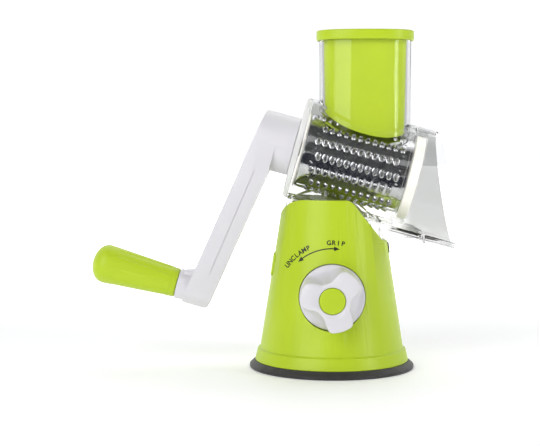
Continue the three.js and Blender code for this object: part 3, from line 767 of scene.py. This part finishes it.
BARREL_RADIUS = 37.0
BARREL_WALL = 2.2
HOOD_WALL = 1.2
RAIL_TURNS = (40, 140)
HOOD_RADIUS = 38.9
HOOD_DROP = 1.9
HOOD_BACK = -3.0
MOUTH_TOP = 13.0
MOUTH_BOTTOM = 46.6
COLLAR_INNER = 31.0
COLLAR_OUTER = 33.0
COLLAR_FRONT = 7.2
CHUTE_WALL = 2.0
CHUTE_DEPTH = 48.0
CHUTE_WIDTH = 65.0
OVAL_POWER = 2.5
CHUTE_SADDLE = 30.0
CHUTE_LOW = 150.0
NECK_TOP = 135.0
NECK_GAP = 2.4
# The square sleeve round the neck: its left, right, depth and corner.
SLEEVE = (20, 65.5, 50, 8)
SLEEVE_GAP = 0.4
PLATE_BORE = 8.8
PUSHER_WIDTH = 59.0
PUSHER_DEPTH = 40.0
PUSHER_WALL = 2.0
PUSHER_SADDLE = 29.6
PUSHER_TAPER = 0.94
LIP_HEIGHT = 7
CATCH_HEIGHTS = (82.0, 90.0)

DRUM_BACK, DRUM_FRONT, DRUM_RADIUS = turned("drum_shell", DRUM)
PLATE_BACK, PLATE_FRONT, PLATE_RADIUS = turned("housing_back_plate", DRUM)
GAP = 0.3
BARREL_BACK = PLATE_FRONT + GAP
PUSHER_LOW, PUSHER_HIGH = corners("pusher")
CHUTE_CENTRE = (PUSHER_LOW.x + PUSHER_HIGH.x) / 2
CHUTE_TOP = PUSHER_HIGH.z - LIP_HEIGHT - GAP
HOUSING_FOOT = DECK_TOP + GAP


def drum_place(down, along):
    """A point of the drum's frame, y = 0, as (x, z) in millimetres."""
    point = DRUM @ Vector((down, 0, along)) / MM
    return point.x, point.z


def drum_rod(radius, start, end, drop=0.0, segments=160):
    """A rod along the drum's axis, or below it by drop."""
    matrix = DRUM @ Matrix.Translation((drop, 0, 0))
    return lathe("rod", rod_profile(radius, start, end), matrix, segments)


def onto_drum(piece, turn=Matrix()):
    """Carries a piece that was drawn in the drum's frame to its place."""
    piece.data.transform(DRUM @ turn @ WORLD.inverted())
    return piece


def oval(width, depth, steps=96):
    """The plan of the chute and the pusher: a superellipse between an ellipse and a rectangle."""
    points = []
    for i in range(steps):
        angle = 2 * math.pi * i / steps
        c, s = math.cos(angle), math.sin(angle)
        x = math.copysign(abs(c) ** (2 / OVAL_POWER), c) * width / 2
        y = math.copysign(abs(s) ** (2 / OVAL_POWER), s) * depth / 2
        points.append((CHUTE_CENTRE + x, y))
    return points


def chute_post(inset, low, high):
    outline = oval(CHUTE_WIDTH - 2 * inset, CHUTE_DEPTH - 2 * inset)
    return prism("chute", outline, low, high, upright)


def neck():
    """A round plug that stands on the deck, and a square sleeve that covers its outlet side."""
    low = HOUSING_FOOT
    profile = [
        (cone_radius(low) - NECK_GAP - CHUTE_WALL, low),
        (cone_radius(low) - NECK_GAP, low),
        (cone_radius(NECK_TOP) - NECK_GAP, NECK_TOP),
        (cone_radius(NECK_TOP) - NECK_GAP - CHUTE_WALL, NECK_TOP),
    ]
    plug = lathe("neck", profile, segments=160)
    left, right, depth, corner = SLEEVE

    def sleeve(inset, extra):
        width = right - left - 2 * inset
        outline = rounded_rectangle((left + right) / 2, 0, width, depth - 2 * inset, corner - inset, 10)
        return prism("sleeve", outline, low - extra, NECK_TOP + extra, upright)

    skirt = cut(sleeve(0, 0), sleeve(CHUTE_WALL, 1))
    shell = cone_outside(SLEEVE_GAP)
    raised = above_shields()
    raised.data.transform(Matrix.Translation((0, 0, SLEEVE_GAP * MM)))
    cut(skirt, cut(shell, raised), cone_outside(-NECK_GAP - CHUTE_WALL / 2))
    return join(plug, skirt)


def beyond_mouth():
    """The block that cuts the hood off along the slant of its mouth."""
    high = Vector(drum_place(-HOOD_RADIUS + HOOD_DROP, MOUTH_TOP))
    low = Vector(drum_place(HOOD_RADIUS + HOOD_DROP, MOUTH_BOTTOM))
    run = low - high
    first, last = high - run, low + run
    outline = [tuple(first), tuple(last), (300, last.y), (300, first.y)]
    return prism("mouth cut", outline, -60, 60, sideways)


def rail(turn):
    """A low moulded rail along the barrel, where its neck begins."""
    section = rounded([(-0.9, -0.5), (0.9, -0.5), (0.9, 0.9), (-0.9, 0.9)], {2: 0.4, 3: 0.4}, 3)
    outline = [(BARREL_RADIUS + high, across) for across, high in section]
    piece = prism("rail", outline, BARREL_BACK + 4, HOOD_BACK - 0.5, upright)
    return onto_drum(piece, Matrix.Rotation(turn - math.pi / 2, 4, "Z"))


def clear_housing():
    """Barrel, hood, neck, chute and collar as one clear moulding."""
    outside = join(
        drum_rod(BARREL_RADIUS, BARREL_BACK, HOOD_BACK + 1),
        drum_rod(HOOD_RADIUS, HOOD_BACK, MOUTH_BOTTOM + 10, HOOD_DROP),
        neck(),
    )
    reach = BARREL_RADIUS + 0.6
    behind = block("behind", (-80, reach), (-60, 60), (BARREL_BACK - 60, BARREL_BACK), DRUM)
    cut(
        outside,
        drum_rod(BARREL_RADIUS - BARREL_WALL, BARREL_BACK - 1, HOOD_BACK),
        drum_rod(HOOD_RADIUS - HOOD_WALL, HOOD_BACK + 2, MOUTH_BOTTOM + 20, HOOD_DROP),
        chute_post(CHUTE_WALL, CHUTE_LOW - 1, CHUTE_TOP + 1),
        beyond_mouth(),
        behind,
    )
    chute = cut(
        chute_post(0, CHUTE_LOW, CHUTE_TOP),
        chute_post(CHUTE_WALL, CHUTE_LOW - 1, CHUTE_TOP + 1),
        drum_rod(CHUTE_SADDLE, -90, 30),
    )
    profile = rod_profile(COLLAR_OUTER, HOOD_BACK, COLLAR_FRONT, COLLAR_INNER)
    collar = lathe("collar", profile, DRUM)
    join(outside, chute, collar, *[rail(math.radians(turn)) for turn in RAIL_TURNS])
    cut(outside, drum_rod(COLLAR_INNER, -6, 20))
    soften(outside, 0.45, 55, 2)
    outside.name = "housing_visual"
    return finish(
        outside, "clear", "base", "clear_housing", "housing_chute", "housing_neck", angle=30
    )


def back_plate():
    profile = rod_profile(PLATE_RADIUS, PLATE_BACK, PLATE_FRONT, PLATE_BORE)
    profile = rounded(profile, {0: 0.4, 1: 2.4, 2: 0.4}, 8)
    return finish(lathe("plate_visual", profile, DRUM), "milky", "base", "housing_back_plate")


def pusher():
    """A hollow cup with a lip, its lower end cut to a saddle; the cup has a darker copy of the lip's
    lime, painted shade for the cup inside the clear chute.
    """
    low, high = PUSHER_LOW, PUSHER_HIGH
    lip_bottom = high.z - LIP_HEIGHT

    def post(inset, bottom, top):
        """The body's plan carried up, tapering a little towards its lower end."""
        outline = oval(PUSHER_WIDTH - 2 * inset, PUSHER_DEPTH - 2 * inset)
        made = prism("pusher body", outline, bottom, top, upright)
        for vertex in made.data.vertices:
            if vertex.co.z < (bottom + 1) * MM:
                vertex.co.x = (vertex.co.x - CHUTE_CENTRE * MM) * PUSHER_TAPER + CHUTE_CENTRE * MM
        return made

    lip = prism("pusher lip", oval(high.x - low.x, high.y - low.y), lip_bottom, high.z, upright)
    soften(lip, 0.9, 50, 4)
    floor = drum_rod(PUSHER_SADDLE + PUSHER_WALL, -90, 40)
    room = cut(post(PUSHER_WALL, CHUTE_LOW - 1, high.z + 1), floor)
    made = cut(join(post(0, CHUTE_LOW, high.z - 0.8), lip), room, drum_rod(PUSHER_SADDLE, -90, 40))
    soften(made, 0.5, 50, 2)
    made.name = "pusher_visual"
    finish(made, "pusher", "pusher", "pusher", angle=40)
    # The lip takes the plain lime; the cup keeps the darker copy, which is painted shade.
    made.data.materials.append(MATERIALS["green"])
    for polygon in made.data.polygons:
        polygon.material_index = int(polygon.center.z > lip_bottom * MM)
    return made


def shaded_side_catch():
    """The small catch on the outlet side of the base, in dark foot rubber as painted shade."""
    low, high = CATCH_HEIGHTS
    wall = cone_radius((low + high) / 2)
    outline = [(wall - 1.5, low), (wall + 1.1, low + 0.5), (wall + 0.2, high), (wall - 2.2, high)]
    piece = prism("shaded_side_catch", outline, -4, 4, sideways)
    soften(piece, 0.5, 40, 3)
    # The catch's dark rubber is painted shade.
    return finish(piece, "rubber", "base")


# ---- Drum ----

HOLE_ROWS = 16
HOLES_PER_ROW = 12
HOLE_PITCH = 5.1
HOLE_FIRST = -66.5
HOLE_TURN = math.radians(3.5)
HOLE_RADIUS = 1.3
TOOTH_RADIUS = 2.1
TOOTH_HEIGHT = 1.25
TOOTH_STRETCH = 1.45
SHEET = 0.5
CELL_GRID = (-1.0, -0.5, 0.0, 0.5, 1.0)
DRUM_SEAT = DRUM_RADIUS - 1.1
RING_OUTLET = 23.0
BACK_BOSS = 9
SQUARE_HALF = 4.0


def tooth_rings():
    """Rings of a punched tooth from its foot to the hole's wall: (radius, height, burr)."""
    return [
        (TOOTH_RADIUS, 0.0, 0.0),
        (TOOTH_RADIUS - 0.28, 0.16, 0.0),
        (TOOTH_RADIUS - 0.5, 0.45, 0.05),
        (HOLE_RADIUS + 0.1, TOOTH_HEIGHT - 0.1, 0.14),
        (HOLE_RADIUS, TOOTH_HEIGHT, 0.2),
    ]


def drum_shell():
    """A sheet of punched cells wrapped round the drum, then given its thickness inwards."""
    radius = DRUM_RADIUS
    row_arc = 2 * math.pi * radius / HOLE_ROWS
    half_pitch = HOLE_PITCH / 2
    vertices = []
    faces = []
    index = {}

    def point(along, arc, height=0.0):
        arc_turn = arc % (2 * math.pi * radius)
        key = (round(along, 4), round(arc_turn, 4) % round(2 * math.pi * radius, 4), round(height, 4))
        if key not in index:
            angle = arc / radius
            reach = radius + height
            index[key] = len(vertices)
            vertices.append((reach * math.cos(angle), reach * math.sin(angle), along))
        return index[key]

    def border(along, arc):
        """The cell's edge points, anticlockwise, on a grid shared with its neighbours."""
        right = [(1.0, v) for v in CELL_GRID]
        top = [(u, 1.0) for u in reversed(CELL_GRID[:-1])]
        left = [(-1.0, v) for v in reversed(CELL_GRID[:-1])]
        bottom = [(u, -1.0) for u in CELL_GRID[1:-1]]
        edge = right + top + left + bottom
        return [point(along + u * half_pitch, arc + v * row_arc / 2) for u, v in edge]

    def cell(along, arc):
        edge = border(along, arc)
        count = len(edge)
        turn = -math.pi / 4
        rings = [edge]
        for reach, height, burr in tooth_rings():
            ring = []
            for i in range(count):
                angle = turn + 2 * math.pi * i / count
                lift = height + burr * math.cos(4 * angle)
                rise = TOOTH_STRETCH * reach * math.sin(angle)
                ring.append(point(along + reach * math.cos(angle), arc + rise, lift))
            rings.append(ring)
        for outer, inner in zip(rings, rings[1:]):
            for i in range(count):
                j = (i + 1) % count
                faces.append((outer[i], outer[j], inner[j], inner[i]))

    def plain(start, end, arc):
        """An unpunched stretch of a row, on the same grid of arcs."""
        for k in range(4):
            low = arc - row_arc / 2 + k * row_arc / 4
            high = low + row_arc / 4
            faces.append((point(start, low), point(end, low), point(end, high), point(start, high)))

    for row in range(HOLE_ROWS):
        arc = row * row_arc
        stagger = 0.0 if row % 2 else half_pitch
        first = HOLE_FIRST + stagger - half_pitch
        last = first + HOLES_PER_ROW * HOLE_PITCH
        for i in range(HOLES_PER_ROW):
            cell(first + (i + 0.5) * HOLE_PITCH, arc)
        field_start = HOLE_FIRST - half_pitch
        field_end = field_start + (HOLES_PER_ROW + 0.5) * HOLE_PITCH
        if stagger:
            plain(field_start, first, arc)
        else:
            plain(last, field_end, arc)
        plain(DRUM_BACK, field_start, arc)
        plain(field_end, DRUM_FRONT, arc)
    drum = make("drum_visual", vertices, faces, DRUM @ Matrix.Rotation(HOLE_TURN, 4, "Z"))
    wall = drum.modifiers.new("sheet", "SOLIDIFY")
    wall.thickness = SHEET * MM
    wall.offset = -1.0
    smooth = drum.modifiers.new("smooth", "SUBSURF")
    smooth.levels = 1
    apply_modifiers(drum)
    return finish(drum, "drum", "crank", "drum_shell", angle=60)


def drum_ring():
    """The broad ring at the outlet end, with a sleeve inside the sheet."""
    back, front, radius = turned("drum_front_ring", DRUM)
    profile = [
        (RING_OUTLET, back),
        (DRUM_SEAT, back),
        (DRUM_SEAT, DRUM_FRONT + GAP),
        (radius, DRUM_FRONT + GAP),
        (radius, front),
        (RING_OUTLET, front),
    ]
    profile = rounded(profile, {3: 0.5, 4: 1.0, 5: 1.6}, 6)
    return finish(lathe("ring_visual", profile, DRUM), "cream", "crank", "drum_front_ring")


def drum_back():
    """The disc that closes the crank end, with a boss for the square end of the shaft."""
    back, front, radius = turned("drum_back_disc", DRUM)
    plug_end = DRUM_BACK + 4
    profile = [
        (0, back),
        (radius, back),
        (radius, DRUM_BACK - GAP),
        (DRUM_SEAT, DRUM_BACK - GAP),
        (DRUM_SEAT, plug_end),
        (BACK_BOSS, plug_end),
        (BACK_BOSS, front),
        (0, front),
    ]
    profile = rounded(profile, {1: 0.4, 2: 0.3, 4: 0.6, 5: 1.5, 6: 0.8}, 5, closed=False)
    disc = lathe("back_visual", profile, DRUM, 128)
    side = (-SQUARE_HALF, SQUARE_HALF)
    cut(disc, block("square hole", side, side, (back - 5, front + 5), DRUM))
    return finish(disc, "cream", "crank", "drum_back_disc")


# ---- Crank ----

HUB_BACK, HUB_FRONT = -110.2, -82.3
HUB_RADIUS = 20.85
ARM_INNER = -95.1
ARM_END = 12.3
# The arm from the side: x away from the drum's axis and z along it, from the hub round to the hub.
ARM_SIDE = [(-22, -107.3), (104.5, -128.2), (128.8, -132.2), (128.9, -113.0)]
ARM_SIDE += [(21.3, ARM_INNER), (-22, ARM_INNER)]
GROOVE_SIDE = [(22.9, -104.9), (102.9, -117.1), (102.9, -116.75), (22.9, -104.55)]
GROOVE_DEPTH = 0.6
ARM_HALF = 30
ARM_SPAN = (-145, -90)
ELBOW_RADIUS = 10.8
ELBOW_FRONT = -114
FILLET_BEND = -127.5
FILLET_TOP = -126.2
AXLE_HOLE = (3.5, -119.2)
SHAFT_HOLE = (5.7, -101.3)
SCREW_HOLE = (4.4, 5.5)
GRIP_BACK, GRIP_FRONT, GRIP_RADIUS = turned("grip", GRIP)
ELBOW_BACK = GRIP_FRONT + GAP
THROW = (DRUM.inverted() @ Vector(JOINTS["grip_spin"]["pos_m"])).x


TOP_STEPS = 48
TIP_STEPS = 32


def teardrop(inset=0.0):
    """The arm from behind: as deep as the hub at its top, narrowing towards the elbow."""
    top, end = HUB_RADIUS - inset, ARM_END - inset
    lean = math.acos((top - end) / THROW)
    outline = []
    for i in range(TOP_STEPS + 1):
        angle = lean + (2 * math.pi - 2 * lean) * i / TOP_STEPS
        outline.append((top * math.cos(angle), top * math.sin(angle)))
    for i in range(TIP_STEPS + 1):
        angle = -lean + 2 * lean * i / TIP_STEPS
        outline.append((THROW + end * math.cos(angle), end * math.sin(angle)))
    return onto_drum(prism("teardrop", outline, *ARM_SPAN, upright))


def arm():
    """The slanting arm with a fine parting line along each side and a fillet at its elbow."""
    outline = rounded(ARM_SIDE, {0: 4.0, 1: 3.0, 2: 3.0, 3: 4.5}, 8)
    made = onto_drum(prism("arm", outline, -ARM_HALF, ARM_HALF, sideways))
    combine(made, teardrop(), "INTERSECT")
    soften(made, 3.2, 40, 5)
    groove = onto_drum(prism("groove", GROOVE_SIDE, -ARM_HALF, ARM_HALF, sideways))
    cut(groove, teardrop(GROOVE_DEPTH))
    cut(made, groove)
    top = THROW - ELBOW_RADIUS
    curve = curve_points((top, ELBOW_BACK + 1.2), (top, FILLET_BEND), (top - 7, FILLET_TOP), 8)
    corner = [(top + 8, ELBOW_BACK + 1.2)] + curve + [(top + 8, -126)]
    fillet = onto_drum(prism("fillet", corner, -7, 7, sideways))
    soften(fillet, 1.5, 50, 3)
    join(made, fillet)
    return made


def crank():
    """Hub, arm and elbow as one moulding, with room for the screw, the shaft and the grip's axle."""
    profile = rounded(rod_profile(HUB_RADIUS, HUB_FRONT, ARM_INNER - 2), {1: 0.6}, 8, closed=False)
    hub = lathe("crank_visual", profile, DRUM, 160)
    profile = rounded(rod_profile(ELBOW_RADIUS, ELBOW_FRONT, ELBOW_BACK), {2: 0.7}, 5, closed=False)
    elbow = lathe("elbow", profile, DRUM @ Matrix.Translation((THROW, 0, 0)), 96)
    join(hub, arm(), elbow)
    screw_radius, screw_depth = SCREW_HOLE
    shaft_radius, shaft_end = SHAFT_HOLE
    axle_radius, axle_end = AXLE_HOLE
    screw_room = drum_rod(screw_radius, HUB_BACK - 5, HUB_BACK + screw_depth, segments=64)
    shaft_room = drum_rod(shaft_radius, shaft_end, HUB_FRONT + 1, segments=64)
    axle_room = drum_rod(axle_radius, ELBOW_BACK - 1, axle_end, THROW, 48)
    cut(hub, screw_room, shaft_room, axle_room)
    return finish(hub, "white", "crank", "crank_arm", angle=40)


def hub_cap():
    back, front, radius = turned("crank_hub_cap", DRUM)
    profile = rounded(rod_profile(radius, front, back), {2: 0.5}, 4, closed=False)
    return finish(lathe("hub_cap_visual", profile, DRUM, 64), "white", "crank", "crank_hub_cap")


GRIP_SMALL = 10.4
GRIP_DOME = 10.5
GRIP_COLLAR = 4.6
GRIP_STEPS = 192
# Distances from the small end that the rounded edge and the groove need.
GRIP_EDGE = [0.0, 0.35, 0.8, 1.6, 3.2, 3.5, 3.8, 4.1, GRIP_COLLAR]
GRIP_GROOVE = (3.1, 4.2, 0.25)
# The bore from its closed end: radius and distance from the grip's tip.
GRIP_BORE = [(5.0, 8.4), (5.0, 11.4), (3.6, 11.4)]
FLUTES = 5
FLUTE_START = 5.5
FLUTE_LENGTH = (GRIP_FRONT - GRIP_BACK) * 0.66
FLUTE_DEPTH = 0.55


def grip_radius(distance):
    """The grip's radius at a distance from its small end."""
    edge = GRIP_EDGE[3]
    shoulder = GRIP_FRONT - GRIP_BACK - GRIP_DOME
    radius = GRIP_SMALL + (GRIP_RADIUS - GRIP_SMALL) * min(1.0, distance / shoulder) ** 0.9
    groove_start, groove_end, groove_depth = GRIP_GROOVE
    if distance < edge:
        radius -= 0.7 * (1 - distance / edge) ** 2
    if groove_start < distance < groove_end:
        radius -= groove_depth
    if distance > shoulder:
        share = (distance - shoulder) / GRIP_DOME
        radius = GRIP_RADIUS * math.sqrt(max(0.0, 1 - share ** 2.2))
    return radius


def flute(distance, angle):
    """How deep the surface sinks into one of the flutes, which widen towards the small end."""
    along = (distance - FLUTE_START) / FLUTE_LENGTH
    if along < 0 or along > 1:
        return 0.0
    ends = min(1.0, along / 0.04) * min(1.0, (1 - along) / 0.06)
    half = math.radians(17 + 7 * (1 - along))
    pitch = math.pi / FLUTES
    turn = (angle + pitch) % (2 * pitch) - pitch
    share = min(1.0, max(0.0, (half - abs(turn)) / math.radians(4)))
    return FLUTE_DEPTH * ends * share * share * (3 - 2 * share)


def grip():
    """The tapered grip: a dome, five long shallow flutes and a groove round its small end."""
    start, end = GRIP_FRONT, GRIP_BACK
    shoulder = start - end - GRIP_DOME
    barrel = [GRIP_COLLAR + (shoulder - GRIP_COLLAR) * i / 36 for i in range(1, 37)]
    dome = [shoulder + GRIP_DOME * math.sin(math.radians(8 * step)) for step in range(1, 11)]
    dome += [shoulder + GRIP_DOME * math.sin(math.radians(86))]
    vertices = []
    faces = []
    rings = []

    def ring(radius_of, along):
        rings.append(len(vertices))
        for i in range(GRIP_STEPS):
            angle = 2 * math.pi * i / GRIP_STEPS
            radius = radius_of(angle)
            vertices.append((radius * math.cos(angle), radius * math.sin(angle), along))

    for radius, inset in GRIP_BORE:
        ring(lambda angle, r=radius: r, end + inset)
    ring(lambda angle: GRIP_BORE[-1][0], start)
    for distance in GRIP_EDGE + barrel + dome:
        ring(lambda angle, d=distance: grip_radius(d) - flute(d, angle), start - distance)
    for a, b in zip(rings, rings[1:]):
        faces += band(a, b, GRIP_STEPS)
    faces.append(tuple(rings[0] + i for i in range(GRIP_STEPS)))
    tip = len(vertices)
    vertices.append((0, 0, end))
    faces += [(rings[-1] + i, rings[-1] + (i + 1) % GRIP_STEPS, tip) for i in range(GRIP_STEPS)]
    return finish(make("grip_visual", vertices, faces, GRIP), "green", "grip", "grip", angle=50)


# ---- Inner pieces, carried over from the frame ----

NYLON_NODES = ["base_plate", "pull_stem", "shaft_bush"]
STEEL_NODES = ["cam_bracket", "cam_shaft", "stem_pin", "pull_plate", "lift_spring", "button_spring"]
STEEL_NODES += ["drive_shaft", "grip_axle", "knob_screw", "shaft_screw"]
STEEL_NODES += [f"plate_screw_{i}" for i in (1, 2, 3)] + [f"bracket_screw_{i}" for i in (1, 2)]


def dress_inner_pieces():
    for material, names in (("nylon", NYLON_NODES), ("steel", STEEL_NODES)):
        for name in names:
            mesh = frame["nodes"][name].data
            mesh.materials.clear()
            mesh.materials.append(MATERIALS[material])


# ---- Stage ----

# The y of a direction between which the dark room turns into the bright backdrop.
BACKDROP_SPAN = (-0.15, 0.25)
BACKDROP_LIGHT = 1.05
BACKDROP_TINT = (0.97, 0.98, 1.0, 1.0)
ROOM_LIGHT = 0.07
FLAG_NEAR = -200.0
FLAG_FAR = -2500.0
FLAG_WIDTH = 3000.0
FLOOR_HALF = 6000.0


def sheet(name, half, near, far, height):
    """A flat sheet of the stage, in the material of its own name."""
    edge = [(-half, near, height), (half, near, height), (half, far, height), (-half, far, height)]
    piece = make(name, edge, [(0, 1, 2, 3)])
    piece.data.materials.append(MATERIALS[name])
    return piece


LIGHT_TARGET = Vector((0.0, 0.0, 0.12))


def area_light(name, place, width, height, power):
    """A rectangular lamp facing the part: sizes in metres, power in watts."""
    light = bpy.data.lights.new(name, "AREA")
    light.shape = "RECTANGLE"
    light.size = width
    light.size_y = height
    light.energy = power
    lamp = bpy.data.objects.new(name, light)
    lamp.location = place
    lamp.rotation_euler = (LIGHT_TARGET - Vector(place)).to_track_quat("-Z", "Y").to_euler()
    bpy.context.scene.collection.objects.link(lamp)


def flag():
    """A black card on the floor in front of the part, seen only in its shiny surfaces."""
    card = sheet("flag", FLAG_WIDTH / 2, FLAG_NEAR, FLAG_FAR, 1)
    card.visible_camera = False
    card.visible_diffuse = False
    card.visible_shadow = False


def studio_world():
    """A white backdrop behind the part and a dark room in front of it."""
    world = bpy.data.worlds.new("studio")
    world.use_nodes = True
    nodes, links = world.node_tree.nodes, world.node_tree.links
    facing = axes(nodes, links, "Generated")["Y"]
    light = ramp(nodes, links, facing, *BACKDROP_SPAN, ROOM_LIGHT, BACKDROP_LIGHT)
    links.new(light, nodes["Background"].inputs["Strength"])
    nodes["Background"].inputs["Color"].default_value = BACKDROP_TINT
    bpy.context.scene.world = world


def studio_lights():
    """One large soft box at the left, a strip at the right and two lamps above."""
    area_light("left_box", (-0.75, -1.05, 0.62), 1.1, 1.3, 14.5)
    area_light("right_strip", (0.9, -0.52, 0.35), 0.16, 1.0, 5.0)
    area_light("top_box", (0.1, 0.75, 1.1), 1.3, 0.9, 3.0)
    area_light("front_strip", (0.0, -1.25, 1.15), 1.8, 0.5, 1.0)


CAMERA_PLACE = (-0.0082, -0.95, 0.1688)
CAMERA_DIP = math.radians(3.94)
CAMERA_TURN = math.radians(2.185)
CAMERA_LENS = 88.36
SENSOR = 36.0


def camera():
    data = bpy.data.cameras.new("camera")
    data.lens = CAMERA_LENS
    data.sensor_width = SENSOR
    data.clip_start = 0.02
    data.clip_end = 50.0
    eye = bpy.data.objects.new("camera", data)
    eye.location = CAMERA_PLACE
    eye.rotation_euler = (math.pi / 2 - CAMERA_DIP, 0.0, CAMERA_TURN)
    bpy.context.scene.collection.objects.link(eye)
    bpy.context.scene.camera = eye


bpy.context.scene.view_settings.view_transform = "Standard"
base_shell()
suction_foot()
release_button()
double_arrow()
printed_word("word_left", "UNCLAMP", LEFT_WORD)
printed_word("word_right", "GRIP", RIGHT_WORD)
knob()
knob_cap()
shaded_side_catch()
clear_housing()
back_plate()
pusher()
drum_shell()
drum_ring()
drum_back()
crank()
hub_cap()
grip()
dress_inner_pieces()
sheet("floor", FLOOR_HALF, -FLOOR_HALF, FLOOR_HALF, 0)
flag()
studio_world()
studio_lights()
camera()
